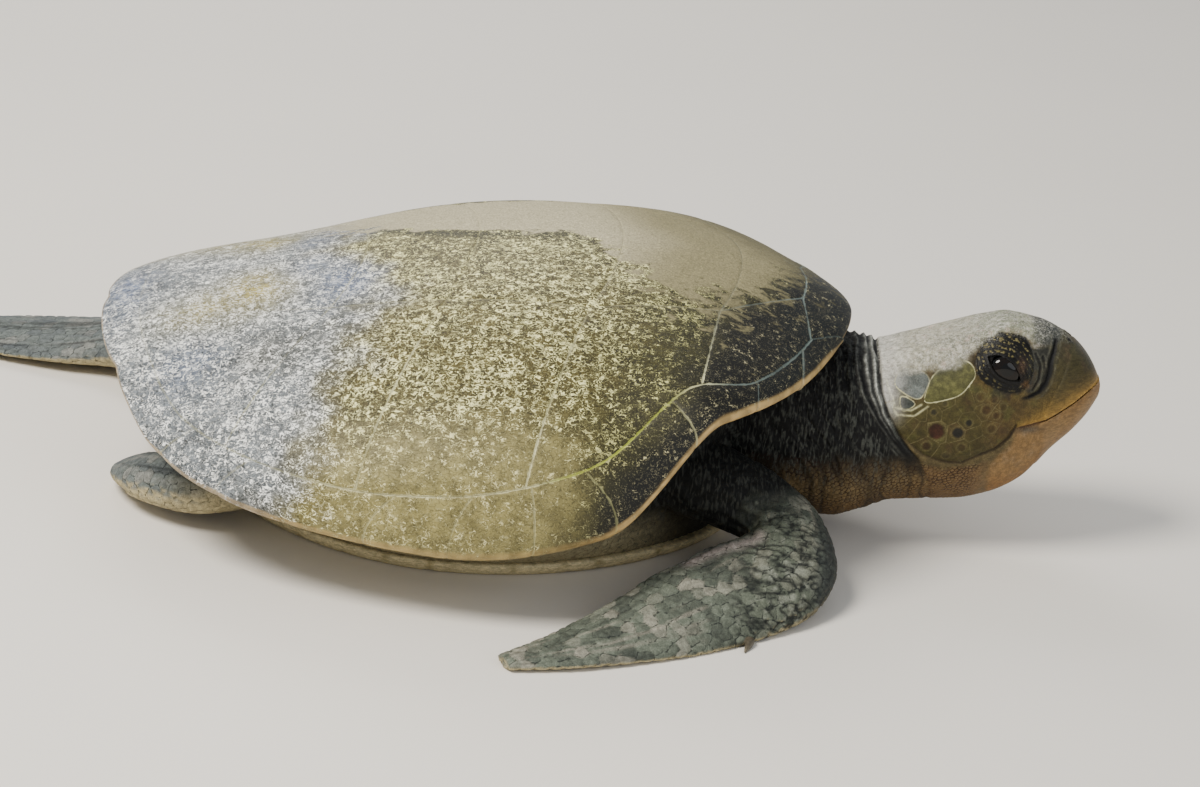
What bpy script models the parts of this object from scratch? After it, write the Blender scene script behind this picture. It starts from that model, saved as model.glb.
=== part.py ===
"""Ridley sea turtle, adult female at rest on the ground: a still, life-size model.

Metres, +Z up, +X towards the head, +Y the turtle's left. The origin is the middle of the
plastron's flat underside, which lies on the ground. Angles round the shell are in degrees from
the head end, the same on both sides.
"""

import math

import bmesh
import bpy
import numpy as np

# Driving sizes of the shell
SHELL_LENGTH = 0.66
HALF_LENGTH = SHELL_LENGTH / 2
HALF_WIDTH = 0.31
FRONT_FULLNESS = 0.08  # how much wider the front half is than an ellipse
REAR_FULLNESS = 0.252  # the same for the hind end, where it counts most
CROWN = 0.2497
FORWARD_RISE = 0.050  # how steeply the crown's line climbs towards the head
END_DROP = 0.044  # how far both ends of that line bend down
NUCHAL_REACH = 0.016  # how far the nuchal scute stands out in front of the ellipse
NUCHAL_SPREAD = 16.0
PLATE = 0.005  # horny scute with the bone skin under it
SEAM = 0.0020  # open line between two scutes
BEDDING = 0.0026  # room between the scutes and the trunk
GAP = 0.0004  # room between pieces that touch

# Height of the shell's rim: an arch over the front flippers, low sides, a raised tail end
RIM_HEIGHT = ((0, 0.209), (25, 0.188), (45, 0.184), (65, 0.092), (90, 0.069), (115, 0.0765),
              (140, 0.097), (160, 0.144), (180, 0.1555))
# Height from which the shell's sides start to fall, at the sides, the front and the rear
SIDE_BASE, FRONT_BASE, REAR_BASE = 0.052, 0.2185, 0.212
# Where the marginal scutes stop and the costal scutes begin, as a share of the way to the rim
BORDER = ((0, 0.93), (17, 0.955), (36, 0.962), (50, 0.905), (70, 0.950), (100, 0.972),
          (130, 0.939), (180, 0.895))
# How far a marginal seam leans forward or back on its way up to the border
LEAN = ((0, 0.0), (9.7, 7.5), (25.4, -4.4), (51, 1.4), (63, 5.0), (76, 0.8), (90, -3.2),
        (115, -4.6), (158, -2.0), (180, 0.0))
NUCHAL_EDGE = 9.7
FIRST_SEAM = 25.4
SEAM_STEP = 12.75
LAST_SEAM = 158.0
MARGINAL_SEAMS = ([NUCHAL_EDGE] + [FIRST_SEAM + SEAM_STEP * i for i in range(10)]
                  + [LAST_SEAM, 180.0])
REAR_NOTCH = 0.007  # share of the rim cut away at each rear seam
NOTCH_WIDTH = 2.4
LIP = 0.034  # how far the marginals turn in under the shell
LIP_DROP = 0.006
RIM_EDGE = 0.006
TOP_SHARES = (0.0, 0.35, 0.65, 0.87)  # places across a marginal scute, from seam to rim
# Triangles that close the end of a marginal scute, so that neighbours' ends run parallel
EDGE_CAP = ((0, 1, 10), (1, 9, 10), (1, 2, 9), (2, 8, 9), (2, 3, 8), (3, 4, 8), (4, 5, 8),
            (5, 7, 8), (5, 6, 7))

# Corners between vertebral and costal scutes: x and distance from the midline, front to back
SPINE_CORNERS = ((0.298, 0.040), (0.222, 0.109), (0.108, 0.139), (-0.018, 0.128),
                 (-0.120, 0.112))
SPINE_MIDDLES = (0.302, 0.242, 0.133, 0.003, -0.096)  # where the seams cross the midline
COSTAL_ANGLES = (17.2, 46.4, 78.0, 104.2, 129.0, 163.0)  # where costal seams meet the border
SPINE_REAR = 167.0  # where the last vertebral scute meets the border

# Plastron
PLASTRON_FRONT = 0.262
PLASTRON_REAR = 0.224
PLASTRON_HALF_WIDTH = 0.200
PLASTRON_DEPTH = 0.0125
PLASTRON_ROUND = 0.010

# Neck and head: x, top, bottom, half width
HEAD_LINES = ((0.200, 0.150, 0.040, 0.058), (0.300, 0.180, 0.020, 0.082),
              (0.345, 0.181, 0.015, 0.083), (0.372, 0.178, 0.023, 0.0765),
              (0.400, 0.187, 0.034, 0.0705), (0.430, 0.199, 0.038, 0.0680),
              (0.460, 0.210, 0.041, 0.0660), (0.490, 0.219, 0.050, 0.0600),
              (0.516, 0.217, 0.066, 0.0510), (0.540, 0.208, 0.097, 0.0395),
              (0.558, 0.195, 0.117, 0.0290), (0.570, 0.180, 0.134, 0.0185),
              (0.5775, 0.166, 0.149, 0.0080))
HEAD_STATIONS = 20
HEAD_POINTS = 20
# Lines that part the head, each from front or top to back or bottom, as x and z
MOUTH_LINE = ((0.62, 0.1675), (0.500, 0.1290), (0.462, 0.1000))
JAW_HINGE = ((0.462, 0.1000), (0.448, -0.05))
BEAK_BACK = ((0.556, 0.30), (0.552, 0.212), (0.530, 0.195), (0.512, 0.160), (0.500, 0.1290))
CHIN_HORN = ((0.512, 0.1328), (0.522, 0.100), (0.545, -0.05))
COLLAR = ((0.366, 0.30), (0.381, 0.143), (0.403, 0.095), (0.412, -0.05))
EYE_RADIUS = 0.0155
EYE_PLACE = (0.489, 0.0418, 0.1825)

# Limbs: x, distance from the midline, height of the middle, chord, thickness, and how many
# degrees the hind edge is raised. What would sink below the ground is flattened on it.
FRONT_LIMB = ((0.165, 0.094, 0.086, 0.080, 0.074, 0), (0.225, 0.116, 0.080, 0.088, 0.072, 5),
              (0.273, 0.130, 0.066, 0.088, 0.068, 14), (0.299, 0.150, 0.053, 0.084, 0.062, 24),
              (0.307, 0.178, 0.043, 0.088, 0.056, 30), (0.294, 0.209, 0.0355, 0.096, 0.048, 32),
              (0.260, 0.240, 0.0300, 0.100, 0.038, 32), (0.214, 0.276, 0.0225, 0.095, 0.029, 25),
              (0.162, 0.314, 0.0135, 0.078, 0.021, 13), (0.108, 0.350, 0.0080, 0.056, 0.016, 4),
              (0.060, 0.376, 0.0055, 0.026, 0.0115, 0))
FRONT_STATIONS = 19
FRONT_PART = 0.47  # where arm and flipper part, as a share of the rows
HIND_STRETCHED = ((-0.165, 0.100, 0.060, 0.080, 0.060, 0), (-0.235, 0.156, 0.044, 0.096, 0.052, 0),
                  (-0.290, 0.202, 0.033, 0.104, 0.050, 0), (-0.335, 0.230, 0.024, 0.108, 0.042, 0),
                  (-0.380, 0.243, 0.0165, 0.118, 0.030, 0),
                  (-0.430, 0.252, 0.0115, 0.112, 0.022, 0),
                  (-0.475, 0.259, 0.0085, 0.090, 0.017, 0),
                  (-0.510, 0.263, 0.0062, 0.058, 0.013, 0),
                  (-0.528, 0.264, 0.0050, 0.026, 0.0105, 0))
HIND_TUCKED = ((-0.130, 0.090, 0.062, 0.070, 0.060, 0), (-0.180, 0.118, 0.050, 0.088, 0.060, 0),
               (-0.218, 0.124, 0.041, 0.090, 0.058, 0), (-0.248, 0.108, 0.033, 0.090, 0.050, 0),
               (-0.264, 0.081, 0.024, 0.088, 0.038, 4), (-0.271, 0.053, 0.0165, 0.080, 0.027, 6),
               (-0.274, 0.029, 0.0105, 0.060, 0.019, 4), (-0.275, 0.011, 0.0065, 0.029, 0.0135, 0))
HIND_STATIONS = 14
HIND_PART = 0.45
LIMB_POINTS = 12
TAIL_LINES = ((-0.180, 0.084, 0.030, 0.048), (-0.225, 0.082, 0.034, 0.038),
              (-0.262, 0.080, 0.040, 0.028), (-0.288, 0.074, 0.047, 0.017),
              (-0.303, 0.066, 0.055, 0.007))
TAIL_STATIONS = 8
CLAW_STATION = 11  # the front flipper's station that carries the claw
CLAW_LENGTH = 0.018
HIND_EDGE = 1  # which side of a limb's path its hind edge lies on: 1 for the body's side
CLAW_RINGS = ((0.0, 0.0040), (0.35, 0.0036), (0.7, 0.0023), (1.0, 0.0005))

PARTS = bpy.data.collections.new("sea_turtle")
CUTTERS = bpy.data.collections.new("cutters")


# Curves and surfaces that the pieces share

def smooth(knots, at):
    """A smooth curve through the knots that never swings past them."""
    x, y = np.array(knots, float).T
    at = np.clip(np.asarray(at, float), x[0], x[-1])
    step = np.diff(x)
    slope = np.diff(y) / step
    tangent = np.zeros_like(y)
    same_way = slope[:-1] * slope[1:] > 0
    before, after = slope[:-1][same_way], slope[1:][same_way]
    tangent[1:-1][same_way] = 2 * before * after / (before + after)
    tangent[0], tangent[-1] = slope[0] * 0.5, slope[-1] * 0.5
    i = np.clip(np.searchsorted(x, at, side="right") - 1, 0, len(step) - 1)
    t = (at - x[i]) / step[i]
    return (y[i] * (1 + 2 * t) * (1 - t) ** 2 + y[i + 1] * t * t * (3 - 2 * t)
            + step[i] * t * (1 - t) * (tangent[i] * (1 - t) - tangent[i + 1] * t))


def outline(angle):
    """Plan of the shell's rim on the left side, before the rear notches."""
    a = np.radians(angle)
    nose = NUCHAL_REACH * np.exp(-(np.asarray(angle) / NUCHAL_SPREAD) ** 2)
    full = 1 + FRONT_FULLNESS * np.cos(a) + REAR_FULLNESS * np.clip(-np.cos(a), 0, 1) ** 2
    return np.stack([HALF_LENGTH * np.cos(a) + nose, HALF_WIDTH * np.sin(a) * full], -1)


def shell_height(angle, share):
    """Height of the shell's outer surface at a share of the way from its middle to the rim."""
    facing = np.cos(np.radians(angle))
    end = facing ** 2
    front = facing > 0
    share = np.clip(share, 0, 1)
    power = 2.128 + np.where(front, 0.03, -0.411) * end
    curl = 0.471 + np.where(front, 0.065, 0.4455) * end
    rise = np.clip(1 - share ** power, 0, 1) ** curl
    crown = CROWN + FORWARD_RISE * share * facing - END_DROP * (share * facing) ** 2
    inner = SIDE_BASE + (np.where(front, FRONT_BASE, REAR_BASE) - SIDE_BASE) * end
    base = inner + (smooth(RIM_HEIGHT, angle) - inner) * share ** 3.1
    return base * (1 - rise) + crown * rise


def height_over(plan):
    """The same height over plan points of either side."""
    x, y = plan[..., 0], np.abs(plan[..., 1])
    angle = np.degrees(np.arctan2(y / HALF_WIDTH, x / HALF_LENGTH))
    for _ in range(12):
        rim = outline(angle)
        turn = np.arctan2(y, x) - np.arctan2(rim[..., 1], rim[..., 0])
        angle = np.clip(angle + np.degrees(turn), 0, 180)
    rim = outline(angle)
    share = np.hypot(x, y) / np.hypot(rim[..., 0], rim[..., 1])
    return shell_height(angle, share)


def on_shell(plan, depth=0.0):
    """Points on the shell over the plan points, or that deep under its surface."""
    step = 1e-4
    dx, dy = np.array([step, 0.0]), np.array([0.0, step])
    slope_x = (height_over(plan + dx) - height_over(plan - dx)) / (2 * step)
    slope_y = (height_over(plan + dy) - height_over(plan - dy)) / (2 * step)
    normal = np.stack([-slope_x, -slope_y, np.ones_like(slope_x)], -1)
    normal /= np.linalg.norm(normal, axis=-1, keepdims=True)
    point = np.concatenate([plan, height_over(plan)[..., None]], -1)
    return point - normal * depth


def border(angle):
    """Plan point of the seam between marginal and costal scutes, left side."""
    return outline(angle) * smooth(BORDER, angle)[..., None]


# Mesh helpers

def mirrored(points, side):
    """The points of the left side, or of the right one where side is -1."""
    return np.asarray(points) * np.array([1.0, side, 1.0])


def add_object(name, points, faces, material, collection=PARTS):
    mesh = bpy.data.meshes.new(name)
    mesh.from_pydata([tuple(map(float, p)) for p in points], [], faces)
    shape = bmesh.new()
    shape.from_mesh(mesh)
    bmesh.ops.recalc_face_normals(shape, faces=shape.faces)
    shape.to_mesh(mesh)
    shape.free()
    mesh.materials.append(material)
    mesh.shade_smooth()
    mesh.set_sharp_from_angle(angle=math.radians(40))
    made = bpy.data.objects.new(name, mesh)
    collection.objects.link(made)
    return made


def add_loft(name, loops, material, collection=PARTS, cap=None):
    """Quads between closed loops, with the end loops closed by one face or by cap's faces."""
    loops = np.asarray(loops)
    stations, points = loops.shape[:2]
    faces = [(i * points + j, (i + 1) * points + j, (i + 1) * points + (j + 1) % points,
              i * points + (j + 1) % points)
             for i in range(stations - 1) for j in range(points)]
    for first in (0, (stations - 1) * points):
        faces += [tuple(first + j for j in face) for face in cap or (range(points),)]
    return add_object(name, loops.reshape(-1, 3), faces, material, collection)


def finish(name, hex_colour, roughness):
    """A plain Principled material in the piece's own colour."""
    material = bpy.data.materials.new(name)
    material.use_nodes = True
    rgb = [int(hex_colour[i:i + 2], 16) / 255 for i in (1, 3, 5)]
    linear = [c / 12.92 if c <= 0.04045 else ((c + 0.055) / 1.055) ** 2.4 for c in rgb]
    shader = material.node_tree.nodes["Principled BSDF"]
    shader.inputs["Base Color"].default_value = (*linear, 1.0)
    shader.inputs["Roughness"].default_value = roughness
    shader.inputs["Metallic"].default_value = 0.0
    return material


def as_helper(made):
    made.hide_render = True
    made.display_type = "WIRE"
    return made


def boolean(made, operation, other):
    modifier = made.modifiers.new(other.name, "BOOLEAN")
    modifier.operation = operation
    modifier.solver = "EXACT"
    modifier.object = other


def applied(made):
    """The mesh with its modifiers applied, so that a copy of it can be cut again."""
    graph = bpy.context.evaluated_depsgraph_get()
    mesh = bpy.data.meshes.new_from_object(made.evaluated_get(graph))
    made.modifiers.clear()
    made.data = mesh
    return made


# Scutes

def edge_section(top, rim_point, lip_drop):
    """Section of a scute that folds round the rim: over the top, round the edge and in below.

    The last five points are the inner side, from the lip back up to the seam.
    """
    inward = -np.append(rim_point[:2], 0) / np.linalg.norm(rim_point[:2])
    up = np.array([0.0, 0.0, 1.0])
    edge = rim_point + inward * 0.002 - up * RIM_EDGE
    lip = rim_point + inward * LIP - up * (RIM_EDGE + lip_drop)
    lip_top = lip + up * PLATE
    corner = rim_point + inward * 0.0068 - up * 0.0005
    under = [on_shell(p[:2], PLATE) for p in (top[2], top[0])]
    return np.array([*top, rim_point, edge, lip, lip_top, corner, *under])


def notch(angle):
    """Share of the rim's distance that is left at the rear seams, and 1 elsewhere."""
    nearest = min(abs(angle - seam) for seam in MARGINAL_SEAMS if seam > 110)
    weight = min(max((angle - 110) / 40, 0.0), 1.0)
    return 1 - REAR_NOTCH * weight * math.exp(-(nearest / NOTCH_WIDTH) ** 2)


def lip_drop(angle):
    """The lip slopes down to the bridge at the sides and stays level at both ends."""
    return LIP_DROP * math.sin(math.radians(angle)) ** 2


def marginal_section(angle, inset=0.0):
    """Section of the rim at an angle; a positive inset keeps it clear of the costal seam."""
    start = angle + float(smooth(LEAN, angle))
    shares = np.array(TOP_SHARES)
    angles = start + (angle - start) * shares
    reach = float(smooth(BORDER, start))
    along = reach + (1 - reach) * shares
    along[0] += inset
    plan = outline(angles) * along[:, None]
    top = np.column_stack([plan, shell_height(angles, along)])
    rim_plan = outline(angle) * notch(angle)
    rim_point = np.append(rim_plan, shell_height(angle, 1.0))
    return edge_section(top, rim_point, lip_drop(angle))


def make_marginals(material):
    width = np.degrees(SEAM / 2 / HALF_WIDTH)
    for side, word in ((-1, "right"), (1, "left")):
        for number, ends in enumerate(zip(MARGINAL_SEAMS, MARGINAL_SEAMS[1:]), 1):
            angles = np.linspace(ends[0] + width, ends[1] - width, 3)
            loops = [marginal_section(a, inset=0.006) for a in angles]
            add_loft(f"marginal_scute_{word}_{number:02d}", mirrored(loops, side), material,
                     cap=EDGE_CAP)


def nuchal_section(across):
    """Section of the nuchal scute at a share of its half width, from -1 to 1."""
    angle = NUCHAL_EDGE - np.degrees(SEAM * 0.7 / HALF_LENGTH)
    rim_plan = outline(angle * across)
    wide = border(NUCHAL_EDGE + float(smooth(LEAN, NUCHAL_EDGE)))
    middle, corner = SPINE_MIDDLES[0], SPINE_CORNERS[0]
    y = (wide[1] - SEAM * 1.2) * across
    x = np.interp(abs(y), (0, corner[1], wide[1]), (middle, corner[0], wide[0])) + SEAM
    inner = np.array([x, y])
    shares = np.array(TOP_SHARES)[:, None]
    plan = inner + (rim_plan - inner) * shares
    top = np.column_stack([plan, height_over(plan)])
    rim_point = np.append(rim_plan, shell_height(abs(angle * across), 1.0))
    return edge_section(top, rim_point, 0.0)


def make_nuchal(material):
    shares = (-1, -0.68, -0.4, 0, 0.4, 0.68, 1)
    add_loft("nuchal_scute", [nuchal_section(s) for s in shares], material, cap=EDGE_CAP)


def patch(front, back, inner, outer, rows, columns):
    """Plan grid over a four-sided scute, from curves over 0 to 1 along its sides."""
    u = np.linspace(0, 1, columns)[None, :, None]
    v = np.array(rows)[:, None, None]
    front_line, back_line = front(u[0]), back(u[0])
    inner_line, outer_line = inner(v[:, 0]), outer(v[:, 0])
    across = front_line[None] * (1 - v) + back_line[None] * v
    along = inner_line[:, None] * (1 - u) + outer_line[:, None] * u
    corners = ((front_line[0] * (1 - u) + front_line[-1] * u) * (1 - v)
               + (back_line[0] * (1 - u) + back_line[-1] * u) * v)
    return across + along - corners


def inset_grid(plan, by):
    """Draws the rim of a plan grid in by half a seam, so that neighbours stay apart."""
    grid = plan.copy()
    grid[0] += unit(plan[1] - plan[0]) * by
    grid[-1] += unit(plan[-2] - plan[-1]) * by
    grid[:, 0] += unit(plan[:, 1] - plan[:, 0]) * by
    grid[:, -1] += unit(plan[:, -2] - plan[:, -1]) * by
    return grid


def unit(vectors):
    return vectors / np.linalg.norm(vectors, axis=-1, keepdims=True)


def add_scute(name, plan, material):
    """An open patch of the shell's surface, thickened inwards."""
    rows, columns = plan.shape[:2]
    points = on_shell(plan).reshape(-1, 3)
    faces = [(i * columns + j, i * columns + j + 1, (i + 1) * columns + j + 1,
              (i + 1) * columns + j) for i in range(rows - 1) for j in range(columns - 1)]
    made = add_object(name, points, faces, material)
    if made.data.polygons[0].normal.z < 0:
        made.data.flip_normals()
    thick = made.modifiers.new("plate", "SOLIDIFY")
    thick.thickness = PLATE
    thick.offset = -1
    return made


def line_between(start, end):
    start, end = np.array(start, float), np.array(end, float)
    return lambda share: start + (end - start) * share


def spine_corner(index):
    return np.array(SPINE_CORNERS[index]) if index < len(SPINE_CORNERS) else border(SPINE_REAR)


def make_costals(material):
    """Costal scutes fall away steeply at the border, so their grid is finer there."""
    for side, word in ((-1, "right"), (1, "left")):
        for number in range(5):
            ends = COSTAL_ANGLES[number], COSTAL_ANGLES[number + 1]
            outer = lambda share: border(ends[0] + (ends[1] - ends[0]) * share[:, 0])
            inner = line_between(spine_corner(number), spine_corner(number + 1))
            reach = outer(np.array([[0.0], [1.0]]))
            front = line_between(spine_corner(number), reach[0])
            back = line_between(spine_corner(number + 1), reach[1])
            spread = lambda curve: lambda share: curve(share ** 0.8)
            plan = patch(spread(front), spread(back), inner, outer, np.linspace(0, 1, 6), 7)
            plan = inset_grid(plan, SEAM / 2)
            plan[..., 1] *= side
            add_scute(f"costal_scute_{word}_{number + 1}", plan, material)


def spine_seam(index):
    """Plan curve of the seam in front of a vertebral scute, from the right to the left."""
    if index == len(SPINE_CORNERS):
        span = SPINE_REAR
        def rear(share):
            angle = 180 - (180 - span) * np.abs(2 * share[:, 0] - 1)
            return border(angle) * np.column_stack([np.ones(len(angle)),
                                                    np.sign(2 * share[:, 0] - 1)])
        return rear
    x, half = SPINE_CORNERS[index]
    middle = SPINE_MIDDLES[index]
    def seam(share):
        across = 2 * share[:, 0] - 1
        return np.column_stack([middle + (x - middle) * across ** 2, half * across])
    return seam


def make_vertebrals(material):
    for number in range(5):
        front, back = spine_seam(number), spine_seam(number + 1)
        ends = np.array([[0.0], [1.0]])
        right, left = (line_between(front(ends)[i], back(ends)[i]) for i in (0, 1))
        plan = patch(front, back, right, left, np.linspace(0, 1, 6), 7)
        add_scute(f"vertebral_scute_{number + 1}", inset_grid(plan, SEAM / 2), material)


# Trunk and plastron

def plastron_outline(angle):
    a = np.radians(angle)
    reach = np.where(np.cos(a) > 0, PLASTRON_FRONT, PLASTRON_REAR)
    return np.stack([reach * np.cos(a), PLASTRON_HALF_WIDTH * np.sin(a)
                     * (1 - 0.16 * np.cos(a) ** 2)], -1)


def trunk_section(angle, grow=0.0):
    """Half section of the body under the scutes, from the crown down to the plastron."""
    if angle < NUCHAL_EDGE:
        rim = nuchal_section(angle / NUCHAL_EDGE)
    else:
        rim = marginal_section(angle)
    lip, lip_top, corner, under = rim[6:10]
    inner = rim[0][:2]
    depth = PLATE + BEDDING - grow
    top = [on_shell(inner * f, depth) for f in (0.26, 0.50, 0.70, 0.84, 0.93, 1.0)]
    inward = -np.append(rim[4][:2], 0) / np.linalg.norm(rim[4][:2])
    up = np.array([0.0, 0.0, 1.0])
    room = BEDDING + 0.0004 - grow
    lean = math.atan2(under[2] - corner[2], math.dist(under[:2], corner[:2]))
    clear = (1 + math.cos(lean)) / math.sin(max(lean, 0.4))
    side = [on_shell(rim[1][:2], depth + 0.0004), corner + (inward * clear + up) * room,
            lip_top + (inward + up) * room, lip + inward * room]
    foot = np.append(plastron_outline(angle) * 0.985, PLASTRON_DEPTH + GAP)
    foot[:2] -= inward[:2] * grow
    foot[2] -= grow
    hollow = 0.030 * math.cos(math.radians(angle)) ** 2
    start = side[-1]
    wall = [start + (foot - start) * f + inward * (hollow * bulge)
            for f, bulge in ((0.12, 0.8), (0.45, 1.0), (0.8, 0.35))]
    return np.array([*top, *side, *wall, foot])


def trunk_mesh(name, material, collection, grow=0.0):
    """Both halves of the body lofted round the shell, closed at the crown and underneath."""
    half = [0.0, NUCHAL_EDGE / 2]
    for a, b in zip(MARGINAL_SEAMS, MARGINAL_SEAMS[1:]):
        half += [a, (a + b) / 2]
    left = [(a, 1) for a in half + [180.0]]
    right = [(a, -1) for a in reversed(half[1:])]
    loops = np.array([mirrored(trunk_section(a, grow), side) for a, side in left + right])
    stations, points = loops.shape[:2]
    crown = (0, 0, CROWN - PLATE - BEDDING + grow)
    base = (0, 0, PLASTRON_DEPTH + GAP - grow)
    vertices = np.vstack([loops.reshape(-1, 3), crown, base])
    faces = []
    for i in range(stations):
        here, there = i * points, (i + 1) % stations * points
        for j in range(points - 1):
            faces += [(here + j, there + j, there + j + 1),
                      (here + j, there + j + 1, here + j + 1)]
        faces += [(here, len(vertices) - 2, there),
                  (there + points - 1, len(vertices) - 1, here + points - 1)]
    return add_object(name, vertices, faces, material, collection)


def make_plastron(material):
    angles = np.linspace(0, 360, 36, endpoint=False)
    outer = plastron_outline(angles)
    levels = ((0.0, PLASTRON_ROUND), (0.0022, PLASTRON_ROUND * 0.35), (0.007, 0.0),
              (PLASTRON_DEPTH, 0.0))
    loops = [np.column_stack([outer - unit(outer) * inset, np.full(len(outer), z)])
             for z, inset in levels]
    return add_loft("plastron", loops, material)


# Head and neck

def superellipse(points, top_power=2.4, bottom_power=2.1):
    """Unit loop, fuller above than below."""
    angles = np.linspace(0, 2 * math.pi, points, endpoint=False)
    c, s = np.cos(angles), np.sin(angles)
    power = np.where(s > 0, top_power, bottom_power)
    return (np.sign(c) * np.abs(c) ** (2 / power), np.sign(s) * np.abs(s) ** (2 / power))


def spine_loft(name, lines, stations, points, material, collection):
    """Upright sections along X, from lists of top, bottom and half width."""
    table = np.array(lines)
    share = np.linspace(0, 1, stations)
    at = np.arange(len(table)) / (len(table) - 1)
    x, top, bottom, half = (smooth(np.column_stack([at, table[:, i]]), share)
                            for i in range(4))
    across, up = superellipse(points)
    loops = [np.column_stack([np.full(points, x[i]), across * half[i],
                              (top[i] + bottom[i]) / 2 + up * (top[i] - bottom[i]) / 2])
             for i in range(stations)]
    return add_loft(name, loops, material, collection)


def drawn_in(polygon, by):
    """A closed outline moved inwards by a distance, corner by corner."""
    points = np.array(polygon, float)
    area = np.sum(points[:, 0] * np.roll(points[:, 1], -1)
                  - np.roll(points[:, 0], -1) * points[:, 1])
    before, after = np.roll(points, 1, axis=0), np.roll(points, -1, axis=0)
    turn = 1 if area > 0 else -1
    in_normal = unit(points - before)[:, ::-1] * (-turn, turn)
    out_normal = unit(after - points)[:, ::-1] * (-turn, turn)
    middle = in_normal + out_normal
    return points + middle * by / (1 + np.sum(in_normal * out_normal, -1))[:, None]


def prism(name, polygon, reach, axis):
    """A cutter: an outline in XZ or XY, drawn in by half a gap and extruded both ways."""
    ring = drawn_in(polygon, GAP / 2)
    layers = []
    for level in (-reach, reach):
        if axis == "Y":
            layers.append([(p[0], level, p[1]) for p in ring])
        else:
            layers.append([(p[0], p[1], level) for p in ring])
    return as_helper(add_loft(name, layers, None, CUTTERS))


def copy_of(made, name, material):
    piece = bpy.data.objects.new(name, made.data.copy())
    piece.data.name = name
    piece.data.materials.clear()
    piece.data.materials.append(material)
    PARTS.objects.link(piece)
    return piece


def make_head(materials, trunk_cutter):
    whole = spine_loft("head_and_neck", HEAD_LINES, HEAD_STATIONS, HEAD_POINTS,
                       materials["skin"], CUTTERS)
    boolean(whole, "DIFFERENCE", trunk_cutter)
    applied(whole)
    as_helper(whole)
    far, low, high, back = 0.70, -0.05, 0.30, 0.10
    regions = {
        "neck": ((back, low), COLLAR[3], COLLAR[2], COLLAR[1], COLLAR[0], (back, high)),
        "head": (COLLAR[3], JAW_HINGE[1], JAW_HINGE[0], MOUTH_LINE[1], BEAK_BACK[3],
                 BEAK_BACK[2], BEAK_BACK[1], BEAK_BACK[0], COLLAR[0], COLLAR[1], COLLAR[2]),
        "beak_upper": (MOUTH_LINE[1], CHIN_HORN[0], MOUTH_LINE[0], (far, high), *BEAK_BACK[:4]),
        "lower_jaw": (JAW_HINGE[1], CHIN_HORN[2], CHIN_HORN[1], CHIN_HORN[0], MOUTH_LINE[1],
                      JAW_HINGE[0]),
        "beak_lower": (CHIN_HORN[2], (far, low), MOUTH_LINE[0], CHIN_HORN[0], CHIN_HORN[1]),
    }
    finishes = {"beak_upper": "horn", "beak_lower": "horn"}
    pieces = {}
    for name, region in regions.items():
        piece = copy_of(whole, name, materials[finishes.get(name, "skin")])
        boolean(piece, "INTERSECT", prism(f"{name}_region", region, 0.2, "Y"))
        pieces[name] = piece
    for side, word in ((-1, "right"), (1, "left")):
        place = mirrored(EYE_PLACE, side)
        socket = add_ball(f"socket_{word}", EYE_RADIUS + GAP, place, None, CUTTERS)
        boolean(pieces["head"], "DIFFERENCE", as_helper(socket))
        add_ball(f"eye_{word}", EYE_RADIUS, place, materials["eye"], PARTS)


def add_ball(name, radius, place, material, collection):
    mesh = bpy.data.meshes.new(name)
    ball = bmesh.new()
    bmesh.ops.create_uvsphere(ball, u_segments=12, v_segments=7, radius=radius)
    ball.to_mesh(mesh)
    ball.free()
    mesh.materials.append(material)
    mesh.shade_smooth()
    made = bpy.data.objects.new(name, mesh)
    made.location = place
    collection.objects.link(made)
    return made


# Limbs, claws and tail

def limb_loops(table, stations):
    """Sections square to the limb's path in plan, rounded above and flatter below.

    The first point of each is its hind edge, and the one half way round its leading edge.
    """
    rows = np.array(table, float)
    at = np.linspace(0, len(rows) - 1, stations)
    path = np.column_stack([smooth(np.column_stack([np.arange(len(rows)), column]), at)
                            for column in rows.T])
    heading = unit(np.gradient(path[:, :2], axis=0))
    across, up = superellipse(LIMB_POINTS, 2.0, 2.6)
    loops = []
    for (x, y, z, chord, thick, tilt), (hx, hy) in zip(path, heading):
        turn = math.radians(tilt)
        thinner = 1 - 0.25 * across ** 2 * (chord > 2 * thick)
        flat = across * chord / 2
        lift = up * thinner * thick / 2
        sideways = flat * math.cos(turn) - lift * math.sin(turn)
        height = z + flat * math.sin(turn) + lift * math.cos(turn)
        loops.append(np.column_stack([x + HIND_EDGE * -hy * sideways,
                                      y + HIND_EDGE * hx * sideways,
                                      np.maximum(height, 0)]))
    return np.array(loops)


def make_limb(table, stations, side, names, part_at, material, trunk_cutter):
    """A limb in two lengths that part at a station, the upper one cleared of the trunk."""
    loops = mirrored(limb_loops(table, stations), side)
    i = round(part_at * (len(loops) - 1))
    along = unit(np.cross(loops[i][0] - loops[i][LIMB_POINTS // 2], (0, 0, side))) * GAP / 2
    upper = add_loft(names[0], [*loops[:i], loops[i] - along], material)
    boolean(upper, "DIFFERENCE", trunk_cutter)
    add_loft(names[1], [loops[i] + along, *loops[i + 1:]], material)


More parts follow.
